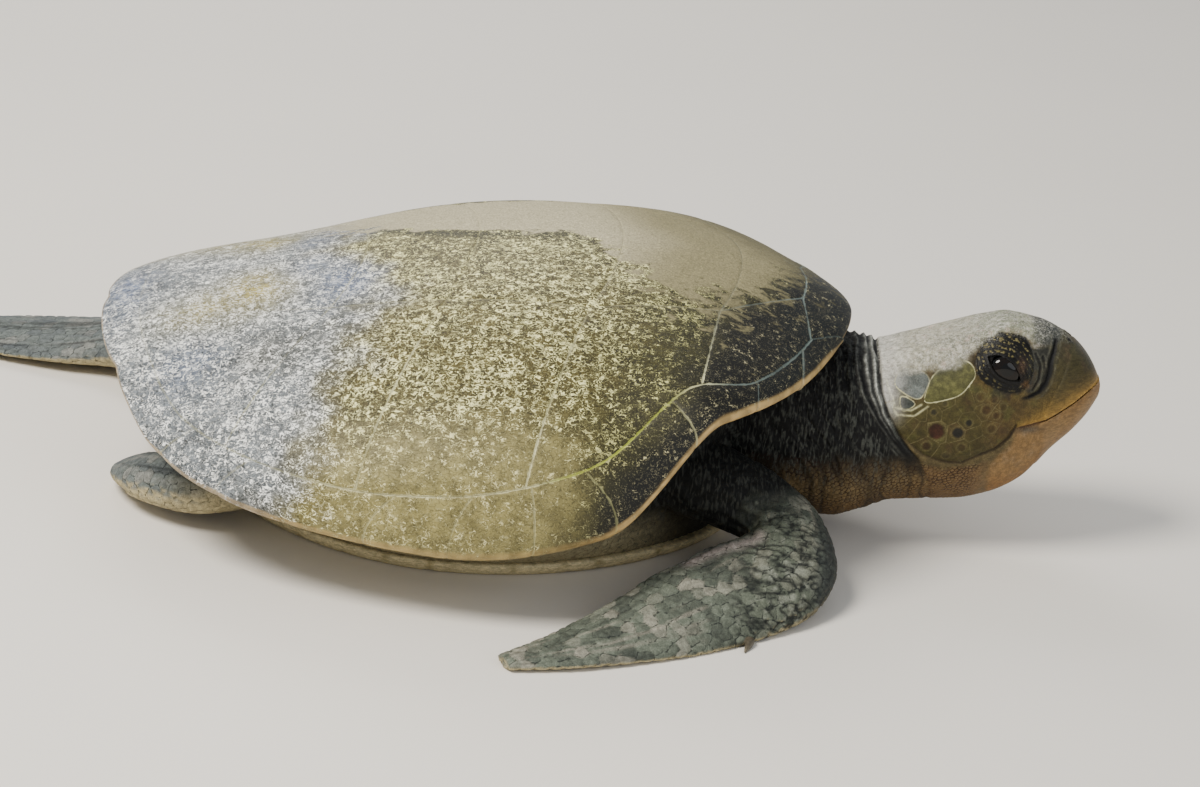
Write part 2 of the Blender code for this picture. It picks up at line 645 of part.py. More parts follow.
def make_claw(side, word, material):
    """The single claw on the leading edge of a front flipper, pointing out and back."""
    loops = limb_loops(FRONT_LIMB, FRONT_STATIONS)
    here, there = loops[CLAW_STATION], loops[CLAW_STATION + 1]
    lead = LIMB_POINTS // 2
    edge = (here[lead] + there[lead]) / 2
    back = unit(there[lead] - here[lead])
    outward = unit((here[lead] - here[0]) * (1, 1, 0))
    outward = unit(outward - back * (outward @ back))
    upward = np.cross(back, outward)
    upward *= np.sign(upward[2])
    rings = []
    for share, radius in CLAW_RINGS:
        middle = (edge + outward * (GAP + CLAW_LENGTH * 0.6 * share)
                  + back * (CLAW_LENGTH * 0.8 * share ** 1.5))
        middle[2] = max(edge[2] * (1 - 0.4 * share), radius)
        rings.append([middle + back * (math.cos(a) * radius * 1.4)
                      + upward * (math.sin(a) * radius)
                      for a in np.linspace(0, 2 * math.pi, 8, False)])
    add_loft(f"claw_{word}", mirrored(np.maximum(rings, (-1, -1, 0)), side), material)


def main():
    for old in list(bpy.data.objects):
        bpy.data.objects.remove(old, do_unlink=True)
    bpy.context.scene.collection.children.link(PARTS)
    bpy.context.scene.collection.children.link(CUTTERS)
    materials = {
        "scute": finish("olive_scute", "#6F7058", 0.55),
        "margin": finish("greenish_margin_scute", "#7A7D69", 0.55),
        "skin": finish("olive_grey_skin", "#5E5F54", 0.65),
        "horn": finish("yellow_horn", "#B09468", 0.4),
        "plastron": finish("cream_plastron", "#C9BC96", 0.5),
        "eye": finish("dark_eye", "#14120E", 0.12),
        "claw": finish("dark_claw", "#4C463A", 0.4),
    }
    make_marginals(materials["margin"])
    make_nuchal(materials["margin"])
    make_vertebrals(materials["scute"])
    make_costals(materials["scute"])
    trunk_mesh("trunk", materials["skin"], PARTS)
    trunk_cutter = as_helper(trunk_mesh("trunk_cutter", None, CUTTERS, grow=GAP))
    make_plastron(materials["plastron"])
    make_head(materials, trunk_cutter)
    for side, word in ((-1, "right"), (1, "left")):
        make_limb(FRONT_LIMB, FRONT_STATIONS, side, (f"arm_{word}", f"flipper_{word}"),
                  FRONT_PART, materials["skin"], trunk_cutter)
        make_claw(side, word, materials["claw"])
    for side, word, table in ((-1, "right", HIND_TUCKED), (1, "left", HIND_STRETCHED)):
        make_limb(table, HIND_STATIONS, side, (f"thigh_{word}", f"hind_flipper_{word}"),
                  HIND_PART, materials["skin"], trunk_cutter)
    tail = spine_loft("tail", TAIL_LINES, TAIL_STATIONS, LIMB_POINTS, materials["skin"], PARTS)
    boolean(tail, "DIFFERENCE", trunk_cutter)


if __name__ == "__main__":
    main()
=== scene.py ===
"""Ridley sea turtle, adult female at rest: skin, scutes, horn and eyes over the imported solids.

Metres, +Z up, +X towards the head, +Y the turtle's left, as in the solids. Angles round the
shell are in degrees from the head end. The shell's curves and the tables of the head and limbs
are the ones the solids are made from, sampled more finely.
"""

import math
from functools import partial
from types import SimpleNamespace

import bmesh
import bpy
import numpy as np
from mathutils import Matrix, Vector
from mathutils.kdtree import KDTree


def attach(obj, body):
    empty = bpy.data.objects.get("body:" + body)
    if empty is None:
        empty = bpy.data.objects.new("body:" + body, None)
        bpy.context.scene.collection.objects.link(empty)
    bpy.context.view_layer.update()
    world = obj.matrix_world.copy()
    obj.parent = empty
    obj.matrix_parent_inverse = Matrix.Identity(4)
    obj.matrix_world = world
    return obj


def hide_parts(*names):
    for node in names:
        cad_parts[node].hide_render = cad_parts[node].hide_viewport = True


bl_info = {
    "name": "Ridley Sea Turtle",
    "version": (1, 0, 0),
    "blender": (4, 5, 0),
    "location": "View3D > Sidebar > Turtle",
    "description": "Dresses the solids of a sea turtle with skin, scutes, horn and eyes",
    "category": "Object",
}

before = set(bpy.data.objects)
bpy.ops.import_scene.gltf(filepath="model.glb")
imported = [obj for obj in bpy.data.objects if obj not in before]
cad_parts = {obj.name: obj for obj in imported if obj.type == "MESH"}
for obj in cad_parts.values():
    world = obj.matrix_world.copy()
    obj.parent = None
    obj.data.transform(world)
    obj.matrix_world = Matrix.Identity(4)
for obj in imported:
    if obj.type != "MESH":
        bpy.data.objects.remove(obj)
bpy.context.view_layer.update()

SIDES = ((-1, "right"), (1, "left"))

# The shell, as in the solids
HALF_LENGTH = 0.33
HALF_WIDTH = 0.31
FRONT_FULLNESS = 0.08
REAR_FULLNESS = 0.252
CROWN = 0.2497
FORWARD_RISE = 0.050
END_DROP = 0.044
NUCHAL_REACH = 0.016
NUCHAL_SPREAD = 16.0
PLATE = 0.0046  # thickness of a scute with the bone skin under it
JOINT = 0.00003  # half the open line between two scutes
RIM_HEIGHT = ((0, 0.209), (25, 0.188), (45, 0.184), (65, 0.092), (90, 0.069), (115, 0.0765),
              (140, 0.097), (160, 0.144), (180, 0.1555))
SIDE_BASE, FRONT_BASE, REAR_BASE = 0.052, 0.2185, 0.212
BORDER = ((0, 0.93), (17, 0.955), (36, 0.962), (50, 0.905), (70, 0.950), (100, 0.972),
          (130, 0.939), (180, 0.895))
LEAN = ((0, 0.0), (9.7, 7.5), (25.4, -4.4), (51, 1.4), (63, 5.0), (76, 0.8), (90, -3.2),
        (115, -4.6), (158, -2.0), (180, 0.0))
NUCHAL_EDGE = 9.7
MARGINAL_SEAMS = [NUCHAL_EDGE] + [25.4 + 12.75 * i for i in range(10)] + [158.0, 180.0]
REAR_NOTCH = 0.007
NOTCH_WIDTH = 2.4
LIP = 0.034
LIP_DROP = 0.006
RIM_EDGE = 0.006
SPINE_CORNERS = ((0.298, 0.040), (0.222, 0.109), (0.108, 0.139), (-0.018, 0.128),
                 (-0.120, 0.112))
SPINE_MIDDLES = (0.302, 0.242, 0.133, 0.003, -0.096)
COSTAL_ANGLES = (17.2, 46.4, 78.0, 104.2, 129.0, 163.0)
SPINE_REAR = 167.0
EDGE_STEPS = (0.0, 0.0006, 0.0012, 0.0019, 0.0030, 0.0048)  # grid lines beside a seam

# Plastron
PLASTRON_FRONT = 0.262
PLASTRON_REAR = 0.224
PLASTRON_HALF_WIDTH = 0.200
PLASTRON_DEPTH = 0.0125
PLASTRON_SEAMS = (0.196, 0.118, 0.022, -0.066, -0.140)  # where its cross seams meet the middle

# Neck and head: x, top, bottom, half width
HEAD_LINES = ((0.200, 0.150, 0.040, 0.058), (0.300, 0.180, 0.020, 0.082),
              (0.345, 0.181, 0.015, 0.083), (0.372, 0.178, 0.023, 0.0765),
              (0.400, 0.187, 0.034, 0.0705), (0.430, 0.199, 0.038, 0.0680),
              (0.460, 0.210, 0.041, 0.0660), (0.490, 0.219, 0.050, 0.0600),
              (0.516, 0.217, 0.066, 0.0510), (0.540, 0.208, 0.097, 0.0395),
              (0.558, 0.195, 0.117, 0.0290), (0.570, 0.180, 0.134, 0.0185),
              (0.5775, 0.166, 0.149, 0.0080))
# Lines on the side of the head, as x and z
MOUTH_LINE = ((0.585, 0.1725), (0.5706, 0.1662), (0.5533, 0.1536), (0.5377, 0.1440),
              (0.5230, 0.1370), (0.5104, 0.1338), (0.5002, 0.1315))
BEAK_BACK = ((0.558, 0.240), (0.554, 0.212), (0.540, 0.195), (0.534, 0.175), (0.526, 0.155),
             (0.518, 0.1290))
CHIN_HORN = ((0.520, 0.1400), (0.5220, 0.1234), (0.5250, 0.1097), (0.5220, 0.0943),
             (0.526, 0.060))
COLLAR = ((0.366, 0.300), (0.3731, 0.1987), (0.3736, 0.1775), (0.3768, 0.1566),
          (0.3849, 0.1389), (0.3965, 0.1201), (0.4074, 0.1068), (0.4165, 0.0977),
          (0.430, 0.070), (0.440, 0.000))
EYE_CENTRE = (0.4850, 0.0380, 0.1815)
EYE_RADIUS = 0.0176
EYE_RINGS, EYE_SIDES = 48, 72  # of the eyeball's mesh
# The eye's opening: back corner, top, front corner and bottom, as x and z
EYE_CORNERS = ((0.4690, 0.1940), (0.4878, 0.1932), (0.4997, 0.1765), (0.4803, 0.1802))
ORBIT = ((0.4590, 0.1807), (0.4575, 0.1926), (0.4636, 0.2029), (0.4738, 0.2107),
         (0.4859, 0.2136), (0.4973, 0.2123), (0.5071, 0.2061), (0.5119, 0.1957),
         (0.5124, 0.1837), (0.5094, 0.1725), (0.5014, 0.1650), (0.4890, 0.1655),
         (0.4781, 0.1687), (0.4686, 0.1732))
# Folds behind the head: distance behind it, half width and seed of the patches
NECK_FOLDS = ((0.0050, 0.0019, 47), (0.0112, 0.0016, 49), (0.0190, 0.0013, 51))
TEAR_GROOVE = ((0.5318, 0.2119), (0.5299, 0.2009), (0.5272, 0.1921), (0.5267, 0.1824),
               (0.5245, 0.1737), (0.5188, 0.1658), (0.5081, 0.1611), (0.5002, 0.1607))
# Folds of skin between the orbit and that groove, painted dark as shade in their creases
TEAR_FOLDS = (((0.5119, 0.1986), (0.5177, 0.1895), (0.5171, 0.1773), (0.5126, 0.1684)),
              ((0.5191, 0.1965), (0.5229, 0.1848), (0.5201, 0.1724)))
# Lower edge of the pale crown and of the chin, as x and z
CROWN_EDGE = ((0.36, 0.166), (0.385, 0.172), (0.425, 0.180), (0.45, 0.190), (0.463, 0.201),
              (0.475, 0.2105), (0.49, 0.216), (0.505, 0.2105), (0.515, 0.206), (0.53, 0.2105),
              (0.548, 0.206), (0.56, 0.202))
CHIN_LINE = ((0.40, 0.038), (0.507, 0.060), (0.518, 0.070), (0.533, 0.088), (0.546, 0.108),
             (0.564, 0.124), (0.576, 0.150))
SLATE_PATCH = ((0.5086, 0.2227), (0.5376, 0.2256), (0.5437, 0.2141), (0.5335, 0.2059),
               (0.5201, 0.2045), (0.5105, 0.2084))
NOSTRIL = (0.5440, 0.0100, 0.2035)
# Crease from the corner of the mouth back under the cheek, and the back of the smooth jaw
CHEEK_CREASE = ((0.3980, 0.1198), (0.4206, 0.1024), (0.4373, 0.0963), (0.4555, 0.0962),
                (0.4725, 0.1057), (0.4854, 0.1115), (0.4975, 0.1237), (0.5016, 0.1351))
JAW_BACK = ((0.5060, 0.1500), (0.5029, 0.1312), (0.4992, 0.1161), (0.4915, 0.1055),
            (0.4838, 0.0949), (0.4812, 0.0798), (0.4850, 0.0600), (0.4950, 0.0400))
THROAT_TOP = ((0.360, 0.104), (0.400, 0.096), (0.4201, 0.0915), (0.4387, 0.0884),
              (0.4568, 0.0900), (0.4786, 0.0964), (0.500, 0.108))
# Plate numbers: what the left side adds to a crown plate's, the first of the cheek, the large
# plate of the temple and the one behind it
LEFT_CROWN, CHEEK, TEMPLE, REAR_TEMPLE = 50, 100, 200, 201
MIDDLE_PLATES = (3, 5, 10, 13)  # crown plates that lie across the midline
# Plates at the temple, as x and z round each
TEMPLE_PLATES = (
    ((0.4563, 0.1873), (0.4597, 0.1799), (0.4550, 0.1722), (0.4475, 0.1615), (0.4326, 0.1555),
     (0.4140, 0.1507), (0.4167, 0.1635), (0.4206, 0.1755), (0.4372, 0.1868), (0.4480, 0.1903)),
    ((0.3861, 0.1641), (0.3915, 0.1739), (0.4033, 0.1782), (0.4197, 0.1739), (0.4162, 0.1625),
     (0.4107, 0.1528), (0.3948, 0.1585)),
    ((0.3938, 0.1570), (0.4099, 0.1511), (0.4021, 0.1449), (0.3968, 0.1420), (0.3935, 0.1501)),
)
# Pale edges of skin behind the temple
PALE_EDGES = (((0.3800, 0.1660), (0.3850, 0.1560), (0.3905, 0.1455), (0.4040, 0.1440),
               (0.4130, 0.1500)),
              ((0.3850, 0.1500), (0.3925, 0.1395), (0.4080, 0.1400), (0.4190, 0.1490)))
# The cheek's scales: x and z of the middle, radius of its spot and how red-brown (1) or dark
# (-1) it is
CHEEK_SCALES = ((0.4293, 0.1273, 0.0082, 1.0), (0.4486, 0.1273, 0.0056, -1.0),
                (0.4680, 0.1170, 0.0058, 0.2), (0.4575, 0.1374, 0.0036, -0.9),
                (0.4396, 0.1447, 0.0042, 0.0), (0.4249, 0.1444, 0.0032, -0.7),
                (0.4717, 0.1503, 0.0046, 0.6), (0.4814, 0.1452, 0.0036, 0.5),
                (0.4785, 0.1327, 0.0042, 0.3), (0.4872, 0.1531, 0.0036, 0.4),
                (0.4958, 0.1394, 0.0040, 0.0), (0.4538, 0.1131, 0.0040, 0.3),
                (0.4409, 0.1041, 0.0036, -0.3), (0.4220, 0.1123, 0.0044, 0.7),
                (0.4135, 0.1262, 0.0038, -0.2), (0.4062, 0.1303, 0.0034, 0.0),
                (0.4527, 0.1565, 0.0044, 0.2), (0.4655, 0.1619, 0.0042, 0.3),
                (0.4770, 0.1608, 0.0040, 0.4), (0.4904, 0.1620, 0.0036, 0.2),
                (0.4130, 0.1440, 0.0030, 0.0), (0.3990, 0.1370, 0.0030, 0.0),
                (0.4620, 0.1270, 0.0030, 0.0), (0.4880, 0.1280, 0.0034, 0.2),
                (0.4340, 0.1530, 0.0028, -0.4), (0.5060, 0.1500, 0.0034, 0.0),
                (0.5180, 0.1540, 0.0034, 0.0), (0.5350, 0.1609, 0.0030, 0.0),
                (0.5500, 0.1713, 0.0030, 0.0), (0.5380, 0.1800, 0.0030, 0.0),
                (0.5200, 0.1713, 0.0030, 0.0))
# Middles of the plates on top of the head: x, distance from the midline and plate number
CROWN_PLATES = ((0.5440, 0.0090, 1), (0.5270, 0.0130, 2), (0.5080, 0.0, 3), (0.5020, 0.0290, 4),
                (0.4860, 0.0330, 4), (0.4830, 0.0, 5), (0.4700, 0.0100, 5), (0.4620, 0.0, 5),
                (0.4660, 0.0380, 6), (0.4450, 0.0170, 7), (0.4330, 0.0240, 7),
                (0.4470, 0.0460, 8), (0.4180, 0.0440, 9), (0.4200, 0.0, 10),
                (0.4060, 0.0180, 11), (0.3990, 0.0400, 12), (0.3900, 0.0, 13),
                (0.3840, 0.0260, 14), (0.3870, 0.0520, 15))

# Limbs: x, distance from the midline, height of the middle, chord, thickness, tilt in degrees
FRONT_LIMB = ((0.165, 0.094, 0.086, 0.080, 0.074, 0), (0.225, 0.116, 0.080, 0.088, 0.072, 5),
              (0.273, 0.130, 0.066, 0.088, 0.068, 14), (0.299, 0.150, 0.053, 0.084, 0.062, 24),
              (0.307, 0.178, 0.043, 0.088, 0.056, 30), (0.294, 0.209, 0.0355, 0.096, 0.048, 32),
              (0.260, 0.240, 0.0300, 0.100, 0.038, 32), (0.214, 0.276, 0.0225, 0.095, 0.029, 25),
              (0.162, 0.314, 0.0135, 0.078, 0.021, 13), (0.108, 0.350, 0.0080, 0.056, 0.016, 4),
              (0.060, 0.376, 0.0055, 0.026, 0.0115, 0))
HIND_STRETCHED = ((-0.165, 0.100, 0.060, 0.080, 0.060, 0), (-0.235, 0.156, 0.044, 0.096, 0.052, 0),
                  (-0.290, 0.202, 0.033, 0.104, 0.050, 0), (-0.335, 0.230, 0.024, 0.108, 0.042, 0),
                  (-0.380, 0.243, 0.0165, 0.118, 0.030, 0),
                  (-0.430, 0.252, 0.0115, 0.112, 0.022, 0),
                  (-0.475, 0.259, 0.0085, 0.090, 0.017, 0),
                  (-0.510, 0.263, 0.0062, 0.058, 0.013, 0),
                  (-0.528, 0.264, 0.0050, 0.026, 0.0105, 0))
HIND_TUCKED = ((-0.130, 0.090, 0.062, 0.070, 0.060, 0), (-0.180, 0.118, 0.050, 0.088, 0.060, 0),
               (-0.218, 0.124, 0.041, 0.090, 0.058, 0), (-0.248, 0.108, 0.033, 0.090, 0.050, 0),
               (-0.264, 0.081, 0.024, 0.088, 0.038, 4), (-0.271, 0.053, 0.0165, 0.080, 0.027, 6),
               (-0.274, 0.029, 0.0105, 0.060, 0.019, 4), (-0.275, 0.011, 0.0065, 0.029, 0.0135, 0))
TAIL_LINES = ((-0.180, 0.084, 0.030, 0.048), (-0.225, 0.082, 0.034, 0.038),
              (-0.262, 0.080, 0.040, 0.028), (-0.288, 0.074, 0.047, 0.017),
              (-0.303, 0.066, 0.055, 0.007))
LIMB_REACH = 1.25  # a point this near a limb's line, in half sections, belongs to the limb
# Line of worn scales on the blade of the front flipper, as x and distance from the midline
WORN_LINE = ((0.272, 0.198), (0.212, 0.236))
CLAW_LENGTH = 0.018
CLAW_SIDES = 28
CLAW_RINGS = ((0.0, 0.0040), (0.35, 0.0036), (0.7, 0.0023), (1.0, 0.0005))

# The body's markings on the shell: where the front turns dark and the tail end blue-grey,
# as distance from the midline and x
DARK_FROM = ((0.0, 0.306), (0.067, 0.267), (0.109, 0.240), (0.162, 0.222), (0.200, 0.205),
             (0.234, 0.199), (0.255, 0.180), (0.285, 0.146), (0.32, 0.110))
BLUE_FROM = ((0.0, -0.145), (0.039, -0.105), (0.117, -0.082), (0.152, -0.098),
             (0.181, -0.108), (0.205, -0.112), (0.226, -0.116), (0.245, -0.120), (0.31, -0.158))
# Stains of the tail end: x, distance from the midline, length, width, tone and strength
STAINS = ((-0.188, 0.060, 0.034, 0.034, "ochre", 1.0), (-0.235, 0.085, 0.04, 0.03, "ochre", 0.6),
          (-0.110, 0.070, 0.028, 0.030, "stain", 0.9), (-0.150, 0.035, 0.020, 0.020, "stain", 0.7),
          (-0.310, 0.000, 0.022, 0.060, "stain", 0.9), (-0.235, 0.150, 0.030, 0.030, "stain", 0.45),
          (-0.160, 0.155, 0.040, 0.030, "olive", 0.5))
# Lower edge of the dry band along the crown, right side, as x and y
DRY_EDGE = ((-0.40, 0.16), (-0.150, 0.075), (-0.107, 0.051), (-0.084, 0.047), (-0.051, 0.024),
            (-0.005, 0.009), (0.040, 0.004), (0.086, 0.006), (0.108, -0.010), (0.116, -0.037),
            (0.150, -0.079), (0.175, -0.100), (0.204, -0.112), (0.236, -0.101), (0.263, -0.061),
            (0.287, -0.029), (0.300, -0.010), (0.36, 0.10))


# Studio: floor, lamps and camera
FLOOR_HALF = 30
KEY_PLACE = (-1.5, -1.3, 2.7)
FILL_PLACE = (1.9, -2.1, 1.2)
BACK_PLACE = (-0.6, 2.2, 2.0)
BACK_SHARE = 1.8  # the lamp at the back, over the fill light
CAMERA_EYE = (0.05374472, -3.46739799, 1.47231952)
CAMERA_AIM = (0.12622964, -0.00700373, 0.10893496)
CAMERA_ROLL = 5.8  # degrees
CAMERA_LENS = 122.19  # millimetres

# Colours of single markings, among them painted shade and painted highlights, and of the lights
MARKINGS = dict(
    belly_stain="#A29573", crown_hollow="#5B5D4D", crown_net="#D4D0C5", crown_worn="#CEC8BF",
    crown_damp="#616359", crown_pink="#BCA295", crown_grey="#595D59", crown_line="#42453F",
    nape="#BCBAB3", snout_smudge="#302F22", snout_red="#523F2F", nostril="#121212",
    slate="#303435", jaw_pale="#816E55", mouth_corner="#3F3E38", gum="#381F16",
    cheek_olive="#454822", cheek_rust="#40301F", cheek_crease="#291F16", cheek_line="#6C6342",
    under_cheek="#564B30", under_cheek_dark="#3C321F", scale_red="#46271D",
    scale_black="#191916", scale_ring="#6F6542", low_temple="#2F3430", temple_shade="#272B1D",
    granule="#745D40", bright_granule="#9E997C", orbit_smudge="#22221E", tear_skin="#272722",
    tear_fold="#59594D", groove_rim="#656355", eye_corner="#4D3A2B", eye_rust="#6F522F",
    lid_edge="#12100D", lid_line="#0A0A08", black="#0D0D0D", collar="#1D1D1B",
    neck_line="#0A0A0A", neck_ridge="#52544D", low_ridge="#6F6148", wrinkle_ridge="#464842",
    hind_blue="#63696F", elbow="#5B6052", elbow_pale="#86897C", elbow_crack="#161816",
    arm_front="#272B2B", worn_blade="#A29790", claw_tip="#998E76", sky_light="#F6FAFF",
    key_light="#FFFAF1", fill_light="#F7FAFF", back_light="#FFFCF7")


def linear(hex_colour):
    """An sRGB colour as written, in the linear numbers that the shaders use."""
    srgb = [int(hex_colour[i:i + 2], 16) / 255 for i in (1, 3, 5)]
    return tuple(c / 12.92 if c <= 0.04045 else ((c + 0.055) / 1.055) ** 2.4 for c in srgb)


MARK = SimpleNamespace(**{name: linear(code) for name, code in MARKINGS.items()})


# Sizes and colours that a user would change

def tone(name, description, hex_colour):
    """A colour property."""
    return bpy.props.FloatVectorProperty(name=name, description=description, size=3,
                                         subtype="COLOR", min=0, max=1,
                                         default=linear(hex_colour))


def length(name, description, metres):
    """A length property."""
    return bpy.props.FloatProperty(name=name, description=description, default=metres,
                                   unit="LENGTH", min=0, precision=5)


class TurtleShell(bpy.types.PropertyGroup):
    """Carapace and plastron."""
    seam: length("Seam", "Width of the pale line between two scutes", 0.0017)
    # The flecks on the scutes are painted sun glints on the wet horn; this is their width
    glint_fleck: length("Fleck", "Width of the algae flecks on the scutes", 0.0036)
    relief: length("Relief", "Depth of the wear on the scutes", 0.0005)
    olive: tone("Olive", "Scutes of the middle of the shell", "#4C4420")
    # Painted glints on the olive scutes
    olive_glint: tone("Olive flecks", "Flecks on the olive scutes", "#FFFAB2")
    olive_deep: tone("Deep olive", "Olive scutes towards the shoulder", "#2A2913")
    # The dark front: darker horn with painted shade over the front slope
    dark: tone("Dark", "Scutes over the shoulder", "#0D0D0A")
    # Painted glints on the dark scutes
    dark_glint: tone("Dark flecks", "Flecks on the dark scutes", "#B4AC86")
    teal: tone("Teal", "Front rim of the shell", "#0A0F0F")
    blue: tone("Blue grey", "Scutes of the tail end", "#747A7E")
    # White painted glints on the tail end
    blue_glint: tone("Blue grey flecks", "Flecks on the tail end", "#FFFFFA")
    stain: tone("Blue stain", "Bluest patches of the tail end", "#5A6A8C")
    ochre: tone("Ochre", "Stain on the fourth vertebral scute", "#A59638")
    margin: tone("Margin", "Marginal scutes of the sides", "#847B4C")
    # Painted glints on the side margin
    margin_glint: tone("Margin flecks", "Flecks on the side margin", "#D6CC98")
    dry: tone("Dry band", "Dry crown of the shell", "#BDB496")
    dry_front: tone("Damp band", "Crown of the shell near the head", "#8C8462")
    rim: tone("Rim", "Worn rim of the shell", "#B89A63")
    seam_pale: tone("Pale seam", "Seams between the scutes", "#CBC79A")
    seam_yellow: tone("Yellow seam", "Seams at the side of the shell", "#C2CC48")
    seam_cold: tone("Cold seam", "Seams on the dark front", "#6E7C77")
    plastron: tone("Plastron", "Horn of the underside", "#CDBF95")
    plastron_seam: tone("Plastron seam", "Seams of the underside", "#8F8058")


class TurtleSkin(bpy.types.PropertyGroup):
    """Skin of the head, neck, limbs and tail."""
    voxel: length("Voxel", "Mesh spacing of the skin before it is refined", 0.0021)
    throat_scale: length("Throat scale", "Spacing of the granules on the throat", 0.0027)
    neck_scale: length("Neck scale", "Spacing of the granules on the neck", 0.0034)
    limb_scale: length("Limb scale", "Spacing of the scales on the limbs", 0.0095)
    crown: tone("Crown", "Top of the head", "#979380")
    crown_green: tone("Brow", "Top of the head over the eyes", "#757B62")
    cheek: tone("Cheek", "Scales of the cheek", "#3F391D")
    cheek_front: tone("Front of the cheek", "Cheek under the eye", "#4B3D20")
    temple: tone("Temple", "Plate behind the eye", "#4B4A29")
    temple_blue: tone("Rear temple", "Plate at the back of the head", "#4A4F4C")
    scale_brown: tone("Scale middle", "Red-brown middles of the cheek scales", "#29130B")
    outline: tone("Outline", "Pale skin between the plates of the head", "#BDB98F")
    lid: tone("Lid", "Skin round the eye", "#0E0D0B")
    lid_fleck: tone("Lid granules", "Yellow granules of the upper lid", "#756C44")
    jaw: tone("Lower jaw", "Side of the lower jaw", "#7E623C")
    jaw_edge: tone("Jaw edge", "Lower edge of the lower jaw", "#75542A")
    throat: tone("Throat", "Granular skin of the throat", "#665032")
    throat_dark: tone("Throat creases", "Creases between the throat's granules", "#24130A")
    neck: tone("Neck", "Sides of the neck", "#0E0E0E")
    neck_low: tone("Low neck", "Lower sides of the neck", "#6B5A3C")
    # The pale folds are painted highlights on the raised folds behind the head
    fold: tone("Fold", "Pale folds behind the head", "#B9BBB2")
    # Near-black: dark skin with painted shade for the shadow under the shell's front rim
    shoulder: tone("Shoulder", "Skin under the shell's front rim", "#0D0E0D")
    flipper: tone("Flipper", "Scales on top of the flippers", "#5E6458")
    flipper_pale: tone("Pale scale", "Pale folds and worn scales of the flippers", "#A9A091")
    flipper_dark: tone("Dark skin", "Creases of the flippers", "#1B1E1E")
    under: tone("Underside", "Undersides of the limbs and the groin", "#A79C79")


class TurtleHorn(bpy.types.PropertyGroup):
    """Beak, claws and eyes."""
    proud: length("Proud", "How far the horn stands over the skin", 0.0006)
    beak: tone("Beak", "Side of the upper beak", "#38341E")
    beak_top: tone("Top of the beak", "Horn round the nostrils", "#3C3A29")
    beak_lip: tone("Cutting edge", "Edge of the upper beak", "#A07C38")
    beak_low: tone("Lower beak", "Horn of the lower jaw", "#80663E")
    claw: tone("Claw", "Horn of the claws", "#4C463A")
    iris: tone("Iris", "Iris of the eye", "#120903")
    pupil: tone("Pupil", "Pupil of the eye", "#050505")


class TurtleStudio(bpy.types.PropertyGroup):
    """Floor and lights."""
    floor: tone("Floor", "Plain floor", "#E6E1D8")
    key: bpy.props.FloatProperty(name="Key light", description="Power of the key light",
                                 default=155.0, unit="POWER")
    fill: bpy.props.FloatProperty(name="Fill light", description="Power of the fill light",
                                  default=17.0, unit="POWER")
    sky: bpy.props.FloatProperty(name="Sky", description="Strength of the even light",
                                 default=0.55)


# Curves and surfaces, as in the solids

def smooth(knots, at):
    """A smooth curve through the knots that never swings past them."""
    x, y = np.array(knots, float).T
    at = np.clip(np.asarray(at, float), x[0], x[-1])
    step = np.diff(x)
    slope = np.diff(y) / step
    tangent = np.zeros_like(y)
    same_way = slope[:-1] * slope[1:] > 0
    before, after = slope[:-1][same_way], slope[1:][same_way]
    tangent[1:-1][same_way] = 2 * before * after / (before + after)
    tangent[0], tangent[-1] = slope[0] * 0.5, slope[-1] * 0.5
    i = np.clip(np.searchsorted(x, at, side="right") - 1, 0, len(step) - 1)
    t = (at - x[i]) / step[i]
    return (y[i] * (1 + 2 * t) * (1 - t) ** 2 + y[i + 1] * t * t * (3 - 2 * t)
            + step[i] * t * (1 - t) * (tangent[i] * (1 - t) - tangent[i + 1] * t))


def ramp(value, low, high):
    """0 below low, 1 above high and an even S between them; low may be the larger."""
    t = np.clip((np.asarray(value, float) - low) / (high - low), 0, 1)
    return t * t * (3 - 2 * t)


def unit(vectors):
    """The vectors at length 1."""
    return vectors / np.maximum(np.linalg.norm(vectors, axis=-1, keepdims=True), 1e-12)


def mirrored(points, side):
    """The points on the given side: 1 is the left, -1 the right."""
    return np.asarray(points) * np.array([1.0, side, 1.0])


def outline(angle):
    """The shell's rim in plan at an angle."""
    a = np.radians(angle)
    nose = NUCHAL_REACH * np.exp(-(np.asarray(angle) / NUCHAL_SPREAD) ** 2)
    full = 1 + FRONT_FULLNESS * np.cos(a) + REAR_FULLNESS * np.clip(-np.cos(a), 0, 1) ** 2
    return np.stack([HALF_LENGTH * np.cos(a) + nose, HALF_WIDTH * np.sin(a) * full], -1)


def shell_height(angle, share):
    """Height of the shell at an angle and share of the way to its rim."""
    facing = np.cos(np.radians(angle))
    end = facing ** 2
    front = facing > 0
    share = np.clip(share, 0, 1)
    power = 2.128 + np.where(front, 0.03, -0.411) * end
    curl = 0.471 + np.where(front, 0.065, 0.4455) * end
    rise = np.clip(1 - share ** power, 0, 1) ** curl
    crown = CROWN + FORWARD_RISE * share * facing - END_DROP * (share * facing) ** 2
    inner = SIDE_BASE + (np.where(front, FRONT_BASE, REAR_BASE) - SIDE_BASE) * end
    base = inner + (smooth(RIM_HEIGHT, angle) - inner) * share ** 3.1
    return base * (1 - rise) + crown * rise


def polar(plan):
    """Angle round the shell and share of the way to the rim, for plan points of either side."""
    x, y = plan[..., 0], np.abs(plan[..., 1])
    angle = np.degrees(np.arctan2(y / HALF_WIDTH, x / HALF_LENGTH))
    for _ in range(12):
        rim = outline(angle)
        turn = np.arctan2(y, x) - np.arctan2(rim[..., 1], rim[..., 0])
        angle = np.clip(angle + np.degrees(turn), 0, 180)
    rim = outline(angle)
    return angle, np.hypot(x, y) / np.hypot(rim[..., 0], rim[..., 1])


def height_over(plan):
    """Height of the shell over plan points."""
    return shell_height(*polar(plan))


